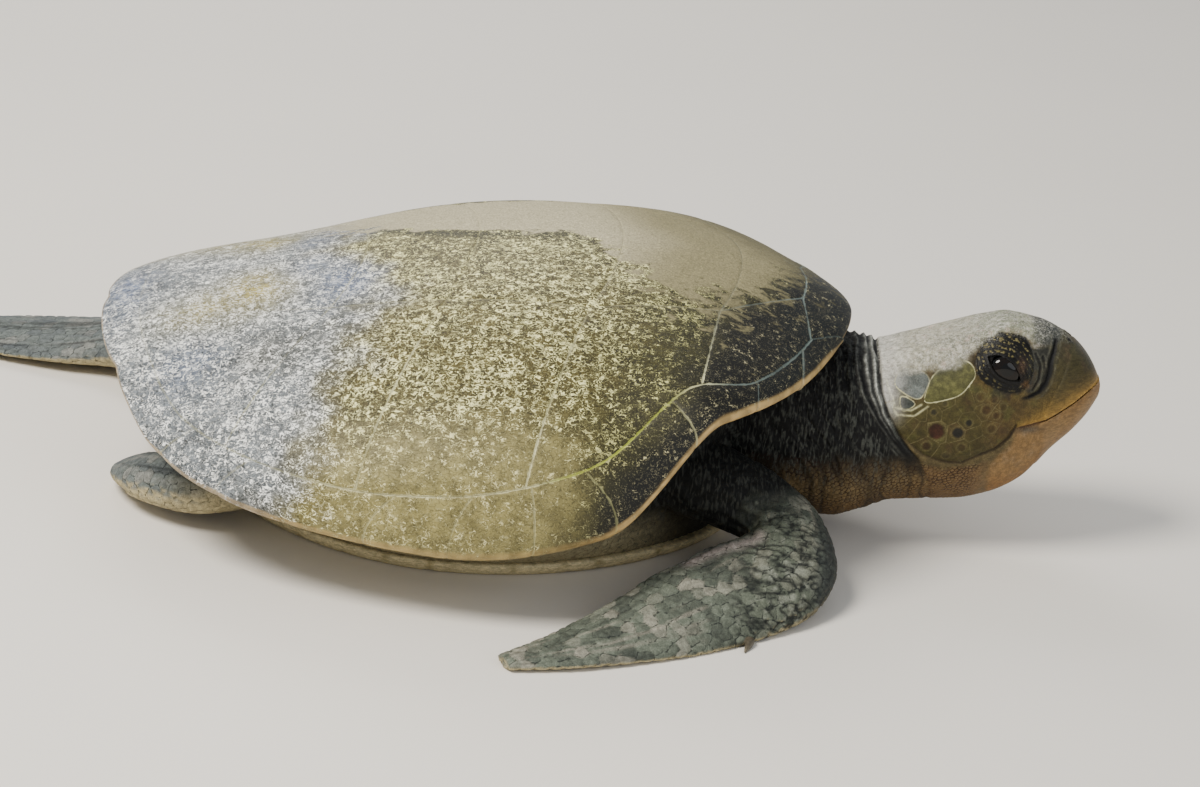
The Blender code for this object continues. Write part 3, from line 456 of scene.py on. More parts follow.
def on_shell(plan, depth=0.0):
    """Points on the shell over the plan points, or that deep under its surface."""
    step = 1e-4
    dx, dy = np.array([step, 0.0]), np.array([0.0, step])
    slope_x = (height_over(plan + dx) - height_over(plan - dx)) / (2 * step)
    slope_y = (height_over(plan + dy) - height_over(plan - dy)) / (2 * step)
    normal = unit(np.stack([-slope_x, -slope_y, np.ones_like(slope_x)], -1))
    point = np.concatenate([plan, height_over(plan)[..., None]], -1)
    return point - normal * np.asarray(depth)[..., None]


def border(angle):
    """Where the marginal scutes begin, in plan."""
    return outline(angle) * smooth(BORDER, angle)[..., None]


def superellipse(points, top_power=2.4, bottom_power=2.1):
    """Points round a full ellipse, fuller above or below by the powers."""
    angles = np.linspace(0, 2 * math.pi, points, endpoint=False)
    c, s = np.cos(angles), np.sin(angles)
    power = np.where(s > 0, top_power, bottom_power)
    return np.sign(c) * np.abs(c) ** (2 / power), np.sign(s) * np.abs(s) ** (2 / power)


def spine_loops(lines, stations, points):
    """Upright sections along X, from lists of top, bottom and half width."""
    table = np.array(lines)
    at = np.arange(len(table)) / (len(table) - 1)
    share = np.linspace(0, 1, stations)
    x, top, bottom, half = (smooth(np.column_stack([at, table[:, i]]), share)
                            for i in range(4))
    across, up = superellipse(points)
    return np.array([np.column_stack([np.full(points, x[i]), across * half[i],
                                      (top[i] + bottom[i]) / 2 + up * (top[i] - bottom[i]) / 2])
                     for i in range(stations)])


def limb_path(table, stations):
    """A limb's rows in even steps, their numbers and its heading in plan."""
    rows = np.array(table, float)
    at = np.linspace(0, len(rows) - 1, stations)
    path = np.column_stack([smooth(np.column_stack([np.arange(len(rows)), column]), at)
                            for column in rows.T])
    return at, path, unit(np.gradient(path[:, :2], axis=0))


def limb_loops(table, stations, points):
    """Sections square to the limb's path in plan; the first point of each is its hind edge."""
    _, path, heading = limb_path(table, stations)
    across, up = superellipse(points, 2.0, 2.6)
    loops = []
    for (x, y, z, chord, thick, tilt), (hx, hy) in zip(path, heading):
        turn = math.radians(tilt)
        thinner = 1 - 0.25 * across ** 2 * (chord > 2 * thick)
        flat = across * chord / 2
        lift = up * thinner * thick / 2
        sideways = flat * math.cos(turn) - lift * math.sin(turn)
        height = z + flat * math.sin(turn) + lift * math.cos(turn)
        loops.append(np.column_stack([x - hy * sideways, y + hx * sideways,
                                      np.maximum(height, 0)]))
    return np.array(loops)


def head_half(x):
    """Top, bottom and half width of the head and neck at x."""
    table = np.array(HEAD_LINES)
    at = np.interp(x, table[:, 0], np.arange(len(table)))
    return [smooth(np.column_stack([np.arange(len(table)), table[:, i]]), at)
            for i in (1, 2, 3)]


def head_side(x, z):
    """Half width of the head at a height."""
    top, bottom, half = head_half(np.asarray(x, float))
    rise = (z - (top + bottom) / 2) / ((top - bottom) / 2)
    power = np.where(rise > 0, 2.4, 2.1)
    return half * np.clip(1 - np.abs(rise) ** power, 0, 1) ** (1 / power)


def head_top(x, y):
    """Height of the top of the head at a distance from the midline."""
    top, bottom, half = head_half(np.asarray(x, float))
    rise = np.clip(1 - np.abs(y / half) ** 2.4, 0, 1) ** (1 / 2.4)
    return (top + bottom) / 2 + rise * (top - bottom) / 2


# Noise, lines and patterns over points

def lattice(cells, seed):
    """A fixed random number from -1 to 1 for each cell of a lattice."""
    n = cells[..., 0] * 73856093 ^ cells[..., 1] * 19349663 ^ cells[..., 2] * 83492791
    n = (n ^ (seed * 40503 + 977)) & 0x7FFFFFFF
    n = ((n ^ (n >> 13)) * 1274126177) & 0x7FFFFFFF
    n = ((n ^ (n >> 15)) * 668265263) & 0x7FFFFFFF
    return (n & 0xFFFFF) / 524287.5 - 1


def noise(points, size, seed=0, octaves=1):
    """Smooth noise from about -1 to 1 with forms of that size; size may be one per axis."""
    total = np.zeros(len(points))
    for octave in range(octaves):
        place = points / (np.asarray(size, float) / 2 ** octave)
        cell = np.floor(place).astype(np.int64)
        t = place - cell
        t = t * t * (3 - 2 * t)
        value = 0
        for corner in range(8):
            step = np.array([corner & 1, corner >> 1 & 1, corner >> 2 & 1])
            weight = np.prod(np.where(step, t, 1 - t), axis=-1)
            value = value + weight * lattice(cell + step, seed + octave * 31)
        total += value / 2 ** octave
    return total / (2 - 0.5 ** (octaves - 1))


def line_distance(points, line, closed=False):
    """Distance from 2-D points to a line, and the share of the way along it."""
    line = np.array(line, float)
    if closed:
        line = np.vstack([line, line[:1]])
    best = np.full(len(points), 9.0)
    share = np.zeros(len(points))
    spans = np.linalg.norm(np.diff(line, axis=0), axis=1)
    start = np.concatenate([[0], np.cumsum(spans)])
    for a, b, span, before in zip(line, line[1:], spans, start):
        t = np.clip((points - a) @ (b - a) / span ** 2, 0, 1)
        away = np.linalg.norm(points - a - t[:, None] * (b - a), axis=1)
        closer = away < best
        best[closer] = away[closer]
        share[closer] = (before + t[closer] * span) / start[-1]
    return best, share


def inside(points, ring):
    """Whether 2-D points lie inside a ring."""
    ring = np.array(ring, float)
    hit = np.zeros(len(points), bool)
    for a, b in zip(ring, np.roll(ring, -1, axis=0)):
        crosses = (a[1] > points[:, 1]) != (b[1] > points[:, 1])
        at = a[0] + (points[:, 1] - a[1]) / (b[1] - a[1] + 1e-15) * (b[0] - a[0])
        hit ^= crosses & (points[:, 0] < at)
    return hit


def signed(points, ring):
    """Distance to a ring, negative inside it."""
    away = line_distance(points, ring, closed=True)[0]
    return np.where(inside(points, ring), -away, away)


def rounded(ring):
    """A smooth closed ring through the corners of a coarse one."""
    ring = np.array(ring, float)
    for _ in range(3):
        after = np.roll(ring, -1, axis=0)
        ring = np.stack([ring * 0.75 + after * 0.25, ring * 0.25 + after * 0.75],
                        1).reshape(-1, 2)
    return ring


def eye_ring():
    """The almond of the lids, pointed at both corners."""
    back, top, front, bottom = np.array(EYE_CORNERS)
    share = np.linspace(0, 1, 28)[:, None]
    halves = []
    for start, peak, end in ((back, top, front), (front, bottom, back)):
        middle = peak * 2 - (start + end) / 2
        halves.append(start * (1 - share) ** 2 + middle * 2 * share * (1 - share)
                      + end * share ** 2)
    return np.vstack([halves[0][:-1], halves[1][:-1]])


def scatter(points, spacing, seed):
    """Some of the points, picked at random, that stay a spacing apart."""
    rng = np.random.default_rng(seed)
    count = min(len(points), int(len(points) * 0.5) + 1)
    order = rng.permutation(len(points))[:count]
    cells = np.floor(points / spacing).astype(int)
    taken = {}
    kept = []
    around = [(i, j, k) for i in (-1, 0, 1) for j in (-1, 0, 1) for k in (-1, 0, 1)]
    for index in order:
        point = points[index]
        a, b, c = cells[index]
        close = False
        for i, j, k in around:
            other = taken.get((a + i, b + j, c + k))
            if other is not None and np.sum((points[other] - point) ** 2) < spacing ** 2:
                close = True
                break
        if not close:
            taken[(a, b, c)] = index
            kept.append(index)
    return points[kept]


def search_tree(points):
    """A tree that finds the nearest of the points."""
    tree = KDTree(len(points))
    for i, point in enumerate(points):
        tree.insert(point, i)
    tree.balance()
    return tree


def cells_of(points, seeds, plates=None):
    """Distance to the edge of each point's cell, its seed's number and how far out it is."""
    tree = search_tree(seeds)
    plates = np.arange(len(seeds)) if plates is None else plates
    looked = 3 if len(seeds) == len(np.unique(plates)) else 9
    edge = np.empty(len(points))
    own = np.empty(len(points), int)
    reach = np.empty(len(points))
    for i, point in enumerate(points):
        found = tree.find_n(point, looked)
        first = found[0]
        own[i] = first[1]
        reach[i] = first[2]
        edge[i] = 0.05
        for other in found[1:]:
            if plates[other[1]] != plates[first[1]]:
                apart = (first[0] - other[0]).length
                edge[i] = (other[2] ** 2 - first[2] ** 2) / (2 * apart)
                break
    return edge, own, reach


def bell(value, half_width, power=2):
    """1 where the value is 0, falling off evenly to both sides."""
    return np.exp(-(value / half_width) ** power)


def filled(colour, count):
    """The same colour for each of that many points."""
    return np.tile(np.array(colour), (count, 1))


def travelled(line):
    """How far along a line each of its points is."""
    return np.concatenate([[0], np.cumsum(np.linalg.norm(np.diff(line, axis=0), axis=1))])


def paint(tint, mask, colour):
    """Lays a colour over the tint where the mask is."""
    tint += (np.array(colour) - tint) * np.clip(mask, 0, 1)[:, None]


# Mesh helpers

def new_object(name, points, faces):
    """A smooth-shaded object at the origin, linked to the scene."""
    mesh = bpy.data.meshes.new(name)
    mesh.from_pydata(np.asarray(points, float).tolist(), [], faces)
    made = bpy.data.objects.new(name, mesh)
    bpy.context.scene.collection.objects.link(made)
    mesh.shade_smooth()
    return made


def face_outwards(mesh):
    """Turns the faces of a closed mesh outwards."""
    shape = bmesh.new()
    shape.from_mesh(mesh)
    bmesh.ops.recalc_face_normals(shape, faces=shape.faces)
    shape.to_mesh(mesh)
    shape.free()


def store(mesh, name, values):
    """A number or colour for each vertex."""
    values = np.asarray(values, np.float32)
    if values.ndim == 2:
        layer = mesh.attributes.new(name, "FLOAT_COLOR", "POINT")
        alpha = np.ones((len(values), 1), np.float32)
        layer.data.foreach_set("color", np.hstack([values, alpha]).ravel())
    else:
        layer = mesh.attributes.new(name, "FLOAT", "POINT")
        layer.data.foreach_set("value", values)


def grid_faces(rows, columns, first=0, flip=False):
    """Quads of a grid of points."""
    i, j = np.meshgrid(np.arange(rows - 1), np.arange(columns - 1), indexing="ij")
    a = first + i * columns + j
    quads = np.stack([a, a + 1, a + columns + 1, a + columns], -1).reshape(-1, 4)
    return quads[:, ::-1] if flip else quads


def add_plate(name, outer, inner):
    """A closed plate between two grids of the same size."""
    rows, columns = outer.shape[:2]
    count = rows * columns
    faces = [*grid_faces(rows, columns), *grid_faces(rows, columns, count, True)]
    ring = ([j for j in range(columns)] + [i * columns + columns - 1 for i in range(1, rows)]
            + [(rows - 1) * columns + j for j in range(columns - 2, -1, -1)]
            + [i * columns for i in range(rows - 2, 0, -1)])
    for a, b in zip(ring, ring[1:] + ring[:1]):
        faces.append((b, a, a + count, b + count))
    points = np.vstack([outer.reshape(-1, 3), inner.reshape(-1, 3)])
    return new_object(name, points, [tuple(int(i) for i in face) for face in faces])


def closed_loft(loops):
    """Points and faces of a loft with its ends closed."""
    loops = np.asarray(loops)
    stations, points = loops.shape[:2]
    faces = [(i * points + j, (i + 1) * points + j, (i + 1) * points + (j + 1) % points,
              i * points + (j + 1) % points)
             for i in range(stations - 1) for j in range(points)]
    faces += [tuple(range(points)), tuple(range((stations - 1) * points, stations * points))]
    return loops.reshape(-1, 3), faces


def grid_normals(grid):
    """Unit normals of a grid of points."""
    along = np.gradient(grid, axis=0)
    across = np.gradient(grid, axis=1)
    return unit(np.cross(across, along))


def dress(made, material, slot, *nodes):
    """Gives a piece its material and its body, and hides the solids it stands for; its slot is not
    used.
    """
    made.data.materials.clear()
    made.data.materials.append(material)
    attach(made, "root")
    if nodes:
        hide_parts(*nodes)
    return made


# Materials

# What add() calls a node: its type, the output that is read, its inputs and settings in order
# and the settings that it always has. A noise's scale is 1 over the size of its forms in metres
NODES = {
    "number": ("ShaderNodeAttribute", "Fac", ("attribute_name",), {}),
    "colour": ("ShaderNodeAttribute", "Color", ("attribute_name",), {}),
    "object": ("ShaderNodeTexCoord", "Object", (), {}),
    "stretched": ("ShaderNodeMapping", 0, ("Vector", "Scale"), {}),
    "noise": ("ShaderNodeTexNoise", "Fac",
              ("Vector", "Scale", "Detail", "Distortion", "Roughness"), {}),
    "range": ("ShaderNodeMapRange", 0, ("Value", "From Min", "From Max", "To Min", "To Max"),
              {"interpolation_type": "SMOOTHSTEP"}),
    "mix": ("ShaderNodeMix", 2, (0, 6, 7, "blend_type"), {"data_type": "RGBA"}),
    "grey": ("ShaderNodeCombineColor", 0, ((0, 1, 2),), {}),
    "relief": ("ShaderNodeBump", 0, ("Height", "Distance", "Strength"), {}),
}


def add(tree, kind, *values):
    """Adds a node of NODES, or a Math node by its operation, and gives back its output socket.
    The values are numbers, colours, settings or the sockets to link."""
    math_node = ("ShaderNodeMath", 0, (0, 1, 2), {"operation": kind})
    name, output, keys, settings = NODES.get(kind, math_node)
    made = tree.nodes.new(name)
    for key, value in settings.items():
        setattr(made, key, value)
    for key, value in zip(keys, values):
        for one in key if isinstance(key, tuple) else (key,):
            if isinstance(value, bpy.types.NodeSocket):
                tree.links.new(value, made.inputs[one])
            elif isinstance(one, str) and hasattr(made, one):
                setattr(made, one, value)
            else:
                made.inputs[one].default_value = value
    return made.outputs[output]


def start_material(name, roughness=0.55, **values):
    """A material with its node tree and shader; the values are inputs of the shader."""
    material = bpy.data.materials.new(name)
    material.use_nodes = True
    tree = material.node_tree
    shader = tree.nodes["Principled BSDF"]
    shader.inputs["Roughness"].default_value = roughness
    for key, value in values.items():
        shader.inputs[key.replace("_", " ")].default_value = value
    return material, tree, shader


def four(colour):
    """The colour with full opacity."""
    return (*colour, 1.0)


def place(tree, stretch=(1, 1, 1)):
    """Object coordinates in metres, stretched per axis."""
    return add(tree, "stretched", add(tree, "object"), stretch)


def scute_material(looks):
    """Horn under a film of algae, with worm-like flecks of painted sun glint on the wet horn, dark
    gaps, pale seams and a dry, dusty crown.
    """
    material, tree, shader = start_material("algae_scute_painted_glints", 0.66, IOR=1.5,
                                            Specular_IOR_Level=0.28)
    node = partial(add, tree)
    spot = place(tree)
    along = place(tree, (0.75, 1.0, 1.0))
    glint_fleck = node("colour", "glint_fleck")
    # algae film: darker and paler patches of some centimetres
    cloud = node("range", node("noise", spot, 1 / 0.014, 4.0, 0.3), 0.28, 0.72, 0.66, 1.3)
    shade = node("mix", 1.0, node("colour", "ground"), node("grey", cloud), "MULTIPLY")
    # flecks of painted sun glint on the wet horn: thin contour lines of a warped noise, broken up
    # by a coarser one
    wander = node("noise", along, 1 / looks.glint_fleck, 2.0, 0.9)
    away = node("ABSOLUTE", node("SUBTRACT", wander, 0.5))
    broken = node("SUBTRACT", node("noise", spot, 1 / (looks.glint_fleck * 1.8), 2.0), 0.5)
    wide = node("MULTIPLY_ADD", node("number", "cover"), 0.078, -0.006)
    wide = node("MULTIPLY_ADD", broken, 0.17, wide)
    flecks = node("range", node("SUBTRACT", away, wide), 0.012, -0.012)
    bright = node("range", node("noise", spot, 1 / 0.018, 3.0), 0.30, 0.58, 0.50, 1.0)
    flecks = node("MULTIPLY", flecks, bright)
    # gaps where the dark horn shows, and a dust of fine pale grains in the glints' colour
    other = node("noise", along, 1 / (looks.glint_fleck * 0.9), 1.5, 0.5)
    gaps = node("range", node("ABSOLUTE", node("SUBTRACT", other, 0.47)), 0.034, 0.012)
    gaps = node("MULTIPLY", gaps, node("number", "gaps"))
    dots = node("range", node("noise", spot, 1 / 0.0014, 2.0), 0.57, 0.67, 0.0, 0.18)
    colour = node("mix", gaps, shade, four([c * 0.35 for c in looks.olive_deep]))
    colour = node("mix", dots, colour, glint_fleck)
    colour = node("mix", flecks, colour, glint_fleck)
    # the dry band, with a wavering lower edge
    waver = node("noise", place(tree, (0.6, 1.0, 1.0)), 1 / 0.014, 5.0, 0.4, 0.65)
    dry = node("MULTIPLY_ADD", node("SUBTRACT", waver, 0.5), 0.060, node("number", "dry"))
    dry = node("range", dry, -0.003, 0.004)
    grainy = node("range", node("noise", spot, 1 / 0.0017, 4.0), 0.34, 0.66, 1.12, 0.74)
    dust = node("mix", 1.0, node("colour", "dry_tone"), node("grey", grainy), "MULTIPLY")
    dry_share = node("MULTIPLY", dry, node("number", "dust"))
    colour = node("mix", dry_share, colour, dust)
    # pale seams
    ragged = node("MULTIPLY_ADD", node("SUBTRACT", node("noise", spot, 1 / 0.005, 3.0), 0.5),
                  0.0030, node("number", "seam"))
    line = node("range", ragged, looks.seam / 2 + 0.0004, looks.seam / 2 - 0.0005)
    line = node("MULTIPLY", line, node("number", "seam_share"))
    colour = node("mix", line, colour, node("colour", "seam_colour"))
    tree.links.new(colour, shader.inputs["Base Color"])
    tree.links.new(node("range", dry_share, 0.0, 1.0, 0.50, 0.82), shader.inputs["Roughness"])
    fine = node("MULTIPLY_ADD", node("noise", spot, 1 / 0.0013, 3.0), 0.5,
                node("SUBTRACT", flecks, gaps))
    tree.links.new(node("relief", fine, 0.00035, 1.0), shader.inputs["Normal"])
    return material


def skin_material():
    """Dry leathery skin: the tint lies on the mesh, crisp lines run between the scales."""
    material, tree, shader = start_material("scaled_turtle_skin", 0.6, IOR=1.45,
                                            Specular_IOR_Level=0.25)
    node = partial(add, tree)
    spot = place(tree)
    tint = node("colour", "tint")
    # blotches of some millimetres and a fine grain
    mottle = node("range", node("noise", spot, 1 / 0.0045, 4.0, 0.5), 0.30, 0.70, 0.76, 1.24)
    speck = node("range", node("noise", spot, 1 / 0.0011, 3.0), 0.35, 0.66, 0.82, 1.18)
    tint = node("mix", 1.0, tint, node("grey", node("MULTIPLY", mottle, speck)), "MULTIPLY")
    # crackled crown: pale worn net over darker, greenish skin
    crackle = node("number", "crackle")
    wander = node("noise", spot, 1 / 0.0030, 3.0, 0.7)
    net = node("range", node("ABSOLUTE", node("SUBTRACT", wander, 0.5)), 0.050, 0.008)
    hollow = node("range", node("noise", spot, 1 / 0.0046, 4.0, 0.6), 0.52, 0.36)
    tint = node("mix", node("MULTIPLY", hollow, node("MULTIPLY", crackle, 0.75)), tint,
                four(MARK.crown_hollow))
    tint = node("mix", node("MULTIPLY", net, node("MULTIPLY", crackle, 0.60)), tint,
                four(MARK.crown_net))
    # neck and shoulder: fine creases that run up and down, with paler ridges between as painted
    # highlights
    drawn = node("noise", place(tree, (1.0, 0.25, 0.25)), 1 / 0.0023, 2.0, 0.6)
    ridge = node("range", drawn, 0.48, 0.66)
    ridge = node("MULTIPLY", ridge, node("number", "wrinkle"))
    tint = node("mix", ridge, tint, four(MARK.wrinkle_ridge))
    ragged = node("MULTIPLY_ADD", node("SUBTRACT", node("noise", spot, 1 / 0.002), 0.5), 0.0006,
                  node("number", "edge"))
    line = node("range", node("DIVIDE", ragged, node("number", "line_width")), 1.3, 0.7)
    worn_line = node("range", node("noise", spot, 1 / 0.009, 2.0), 0.34, 0.56, 0.35, 1.0)
    line = node("MULTIPLY", line, node("MULTIPLY", worn_line, node("number", "line_share")))
    colour = node("mix", line, tint, node("colour", "line_colour"))
    tree.links.new(colour, shader.inputs["Base Color"])
    tree.links.new(node("number", "rough"), shader.inputs["Roughness"])
    pores = node("MULTIPLY_ADD", node("noise", spot, 1 / 0.0028, 2.0), 0.8,
                 node("noise", spot, 1 / 0.0009, 3.0))
    pores = node("MULTIPLY_ADD", node("MULTIPLY", net, crackle), 0.5, pores)
    pores = node("ADD", pores, ridge)
    tree.links.new(node("relief", pores, 0.0005, 0.8), shader.inputs["Normal"])
    return material


def horn_material(name, roughness):
    """Smooth horn with fine growth lines: the tint lies on the mesh."""
    material, tree, shader = start_material(name, roughness, IOR=1.5, Specular_IOR_Level=0.22)
    node = partial(add, tree)
    spot = place(tree)
    layers = node("noise", place(tree, (1.0, 1.0, 3.0)), 1 / 0.006, 4.0, 0.8)
    speck = node("noise", spot, 1 / 0.0012, 3.0)
    mottle = node("range", layers, 0.3, 0.7, 0.68, 1.18)
    mottle = node("MULTIPLY", mottle, node("range", speck, 0.35, 0.65, 0.9, 1.1))
    colour = node("mix", 1.0, node("colour", "tint"), node("grey", mottle), "MULTIPLY")
    tree.links.new(colour, shader.inputs["Base Color"])
    relief = node("relief", node("ADD", layers, speck), 0.0003, 0.5)
    tree.links.new(relief, shader.inputs["Normal"])
    return material


def eye_material(looks):
    """Wet, dark eye: a near-black pupil in a dark brown iris with fine radial grain."""
    material, tree, shader = start_material("wet_dark_eye", 0.05, IOR=1.376)
    node = partial(add, tree)
    spot = place(tree)
    away = node("number", "gaze")
    fibres = node("noise", spot, 1 / 0.0011, 3.0, 0.6)
    iris = node("mix", node("range", fibres, 0.35, 0.68), four([c * 0.35 for c in looks.iris]),
                four(looks.iris))
    wobble = node("MULTIPLY_ADD", node("SUBTRACT", fibres, 0.5), 0.0008, away)
    colour = node("mix", node("range", wobble, 0.0056, 0.0066), four(looks.pupil), iris)
    colour = node("mix", node("range", away, 0.0110, 0.0128), colour, four(looks.pupil))
    tree.links.new(colour, shader.inputs["Base Color"])
    return material


# Carapace

def seam_zones(looks, points, wave, dry, dust):
    """Colour of the seams and how strongly they show."""
    x, away = points[:, 0], np.abs(points[:, 1])
    # seams: pale at the sides, yellow by the fourth marginal, cold over the shoulder
    seam = filled(looks.seam_pale, len(points))
    yellow = ramp(x, 0.07, 0.11) * (1 - ramp(x, 0.17, 0.21)) * ramp(away, 0.20, 0.24)
    paint(seam, yellow, looks.seam_yellow)
    paint(seam, ramp(x, 0.20, 0.24), looks.seam_cold)
    share = 0.30 + 0.52 * ramp(away + 0.02 * wave, 0.12, 0.18)
    share = np.maximum(share, 0.75 * ramp(x, 0.27, 0.29))
    share *= 1 - 0.55 * ramp(x, -0.10, -0.16)
    crack = bell(x + 0.125, 0.022) * ramp(away, 0.205, 0.17) * ramp(away, 0.12, 0.14)
    paint(seam, crack, np.array(looks.dark) * 0.4)
    share = np.maximum(share, crack)
    share = share * (1 - 0.6 * np.clip(ramp(dry, 0, 0.01) * dust, 0, 1))
    share = share * (0.74 + 0.75 * noise(points, 0.035, 8, 2))
    return seam, np.clip(share, 0, 1)


def shell_zones(looks, points, on_margin):
    """What the shell carries at each point: colours, painted shade near the head, cover of painted
    glints and gaps, dust and seams.
    """
    x, y = points[:, 0], points[:, 1]
    away = np.abs(y)
    wave = noise(points, 0.06, 3, 3)
    ripple = noise(points, 0.017, 5, 3)
    streak = noise(points, (0.05, 0.010, 0.014), 6, 2)
    count = len(points)
    ground = filled(looks.olive, count)
    glint_fleck = filled(looks.olive_glint, count)
    cover = 0.54 + 0.20 * wave + 0.20 * ripple
    gaps = np.full(count, 0.72)
    # towards the shoulder: deeper olive, then near-black horn under painted shade, with dimmer
    # glints
    ahead = x - np.interp(away, *np.array(DARK_FROM).T) + 0.020 * wave + 0.012 * ripple
    deep = ramp(ahead + 0.016 * streak, -0.140, -0.020)
    paint(ground, deep * 0.85, looks.olive_deep)
    paint(glint_fleck, deep * 0.75, np.array(looks.olive_glint) * (0.42, 0.42, 0.30))
    cover -= deep * (0.26 - 0.30 * streak)
    # browner and dimmer just under the dry band
    low = np.interp(x, *np.array(DRY_EDGE).T)
    near_side = y < 0.01
    dry = np.where(near_side | (y < 0.09), y - low, (0.185 - 0.05 * np.cos(x * 9)) - y)
    dry = np.minimum(dry, (0.235 - 0.03 * wave) - y + ramp(x, 0.20, 0.30) * 0.1)
    stripe = bell(dry + 0.010, 0.011) * ramp(x, -0.13, -0.07)
    stripe *= 1 - ramp(x, 0.09, 0.13)
    paint(ground, stripe * 0.75, looks.olive_deep)
    cover -= stripe * 0.35
    middle = ramp(away, 0.235, 0.29) * ramp(x, -0.17, -0.08) * (1 - ramp(x, 0.08, 0.14))
    paint(ground, middle * 0.9, looks.margin)
    paint(glint_fleck, middle * 0.8, looks.margin_glint)
    cover -= middle * 0.22
    gaps -= middle * 0.25
    # near-black over the shoulder: darker horn and painted shade over the front slope
    dark = ramp(ahead, -0.035, 0.016)
    paint(ground, dark, looks.dark)
    paint(glint_fleck, dark, looks.dark_glint)
    cover -= dark * 0.60
    gaps *= 1 - dark
    front = ramp(x, 0.262, 0.296) * ramp(away, 0.02, 0.05) + on_margin * ramp(x, 0.245, 0.27)
    paint(ground, np.clip(front, 0, 1) * 0.85, looks.teal)
    # the tail end: paler and blue-grey, white flecks of painted glint, with stained patches
    behind = np.interp(away, *np.array(BLUE_FROM).T) - x + 0.040 * wave + 0.030 * ripple
    blue = ramp(behind, -0.038, 0.038)
    paint(ground, blue, np.array(looks.blue) * 0.82)
    paint(glint_fleck, ramp(behind, -0.050, 0.015), looks.blue_glint)
    cover += blue * (-0.02 + 0.12 * ripple)
    gaps += blue * 0.10
    mottled = 0.75 + 0.5 * ripple
    for at, across, long, wide, stain, share in STAINS:
        spot = bell(x - at, long) * bell(away - across, wide) * mottled * share
        colour = getattr(looks, stain)
        paint(ground, np.clip(spot, 0, 1) * ramp(behind, -0.06, 0.0), colour)
        paint(glint_fleck, np.clip(spot * 0.5, 0, 1) * ramp(behind, -0.06, 0.0), colour)
    # the dry crown: how far each point is above its lower edge, softer towards the head
    dust = 0.95 - 0.62 * ramp(x + 0.01 * wave, -0.10, -0.17)
    dust = dust * (1 - 0.5 * ramp(x, 0.27, 0.31))
    soft = 1 + 3.0 * ramp(x, 0.09, 0.15) + 6.0 * ramp(x, 0.17, 0.25) + 2.0 * ramp(x, -0.05, -0.12)
    dry_tone = filled(looks.dry, count)
    paint(dry_tone, ramp(x + 0.3 * away + 0.02 * wave, 0.10, 0.21), looks.dry_front)
    # the dry band darkens too under the painted shade towards the head
    paint(dry_tone, ramp(ahead, -0.05, 0.01) * 0.5, looks.olive_deep)
    seam, share = seam_zones(looks, points, wave, dry, dust)
    return {"ground": ground, "glint_fleck": glint_fleck, "cover": np.clip(cover, 0.02, 1),
            "gaps": np.clip(gaps, 0, 1), "dry": dry / soft, "dust": dust, "dry_tone": dry_tone,
            "seam_colour": seam, "seam_share": share}


def store_zones(mesh, looks, points, seam, on_margin=0.0, rim=None, cross=None):
    """Stores the zones; rim is the distance to the shell's edge, negative below it."""
    zones = shell_zones(looks, points, on_margin)
    if cross is not None:
        paint(zones["seam_colour"], cross * 0.8 * (points[:, 0] < 0.2), looks.seam_pale)
        zones["seam_share"] *= 1 - 0.5 * cross
    if rim is not None:
        x = points[:, 0]
        arch = ramp(x, 0.11, 0.17) * (1 - ramp(x, 0.32, 0.335))
        wide = 0.0016 + 0.0058 * arch + 0.0012 * noise(points, 0.02, 9, 2)
        worn_edge = ramp(rim, wide, wide * 0.45)
        paint(zones["ground"], worn_edge * (0.45 + 0.5 * arch), looks.rim)
        zones["cover"] *= 1 - 0.9 * worn_edge
        zones["gaps"] *= 1 - worn_edge
        zones["dust"] = zones["dust"] * (1 - worn_edge)
    for name, values in zones.items():
        store(mesh, name, values)
    store(mesh, "seam", seam)


def patch(front, back, inner, outer, u, v):
    """Plan grid over a four-sided scute, from curves over 0 to 1 along its sides."""
    u = u[None, :, None]
    v = v[:, None, None]
    front_line, back_line = front(u[0]), back(u[0])
    inner_line, outer_line = inner(v[:, 0]), outer(v[:, 0])
    across = front_line[None] * (1 - v) + back_line[None] * v
    along = inner_line[:, None] * (1 - u) + outer_line[:, None] * u
    corners = ((front_line[0] * (1 - u) + front_line[-1] * u) * (1 - v)
               + (back_line[0] * (1 - u) + back_line[-1] * u) * v)
    return across + along - corners


def line_between(start, end):
    """A straight line as a curve over 0 to 1."""
    start, end = np.array(start, float), np.array(end, float)
    return lambda share: start + (end - start) * share


def steps(size, count):
    """Shares from 0 to 1 over that many metres, close together by both seams."""
    near = np.array(EDGE_STEPS) / size
    return np.concatenate([near[:-1], np.linspace(near[-1], 1 - near[-1], count),
                           1 - near[:-1][::-1]])


def border_distance(grid):
    """Distance of each point of a grid of points to the grid's border."""
    ring = np.vstack([grid[0], grid[1:, -1], grid[-1, -2::-1], grid[-2:0:-1, 0]])
    flat = grid.reshape(-1, 3)
    best = np.full(len(flat), 9.0)
    for a, b in zip(ring, np.roll(ring, -1, axis=0)):
        span = b - a
        size = span @ span
        if size < 1e-14:
            continue
        t = np.clip((flat - a) @ span / size, 0, 1)
        best = np.minimum(best, np.sum((flat - a - t[:, None] * span) ** 2, axis=1))
    return np.sqrt(best).reshape(grid.shape[:2])


def worn(seam, points, relief):
    """How deep the scute's surface lies under the shell's curve, from wear and its edges."""
    flat = points.reshape(-1, 3)
    wear = (noise(flat, (0.05, 0.03, 0.03), 11, 2) + 1) * 0.5
    rings = np.abs(noise(flat, (0.02, 0.008, 0.012), 13, 2))
    depth = relief * (wear + 0.5 * rings).reshape(seam.shape)
    return depth + 0.0004 * bell(seam, 0.0013) + 0.0003 * bell(seam, 0.004)


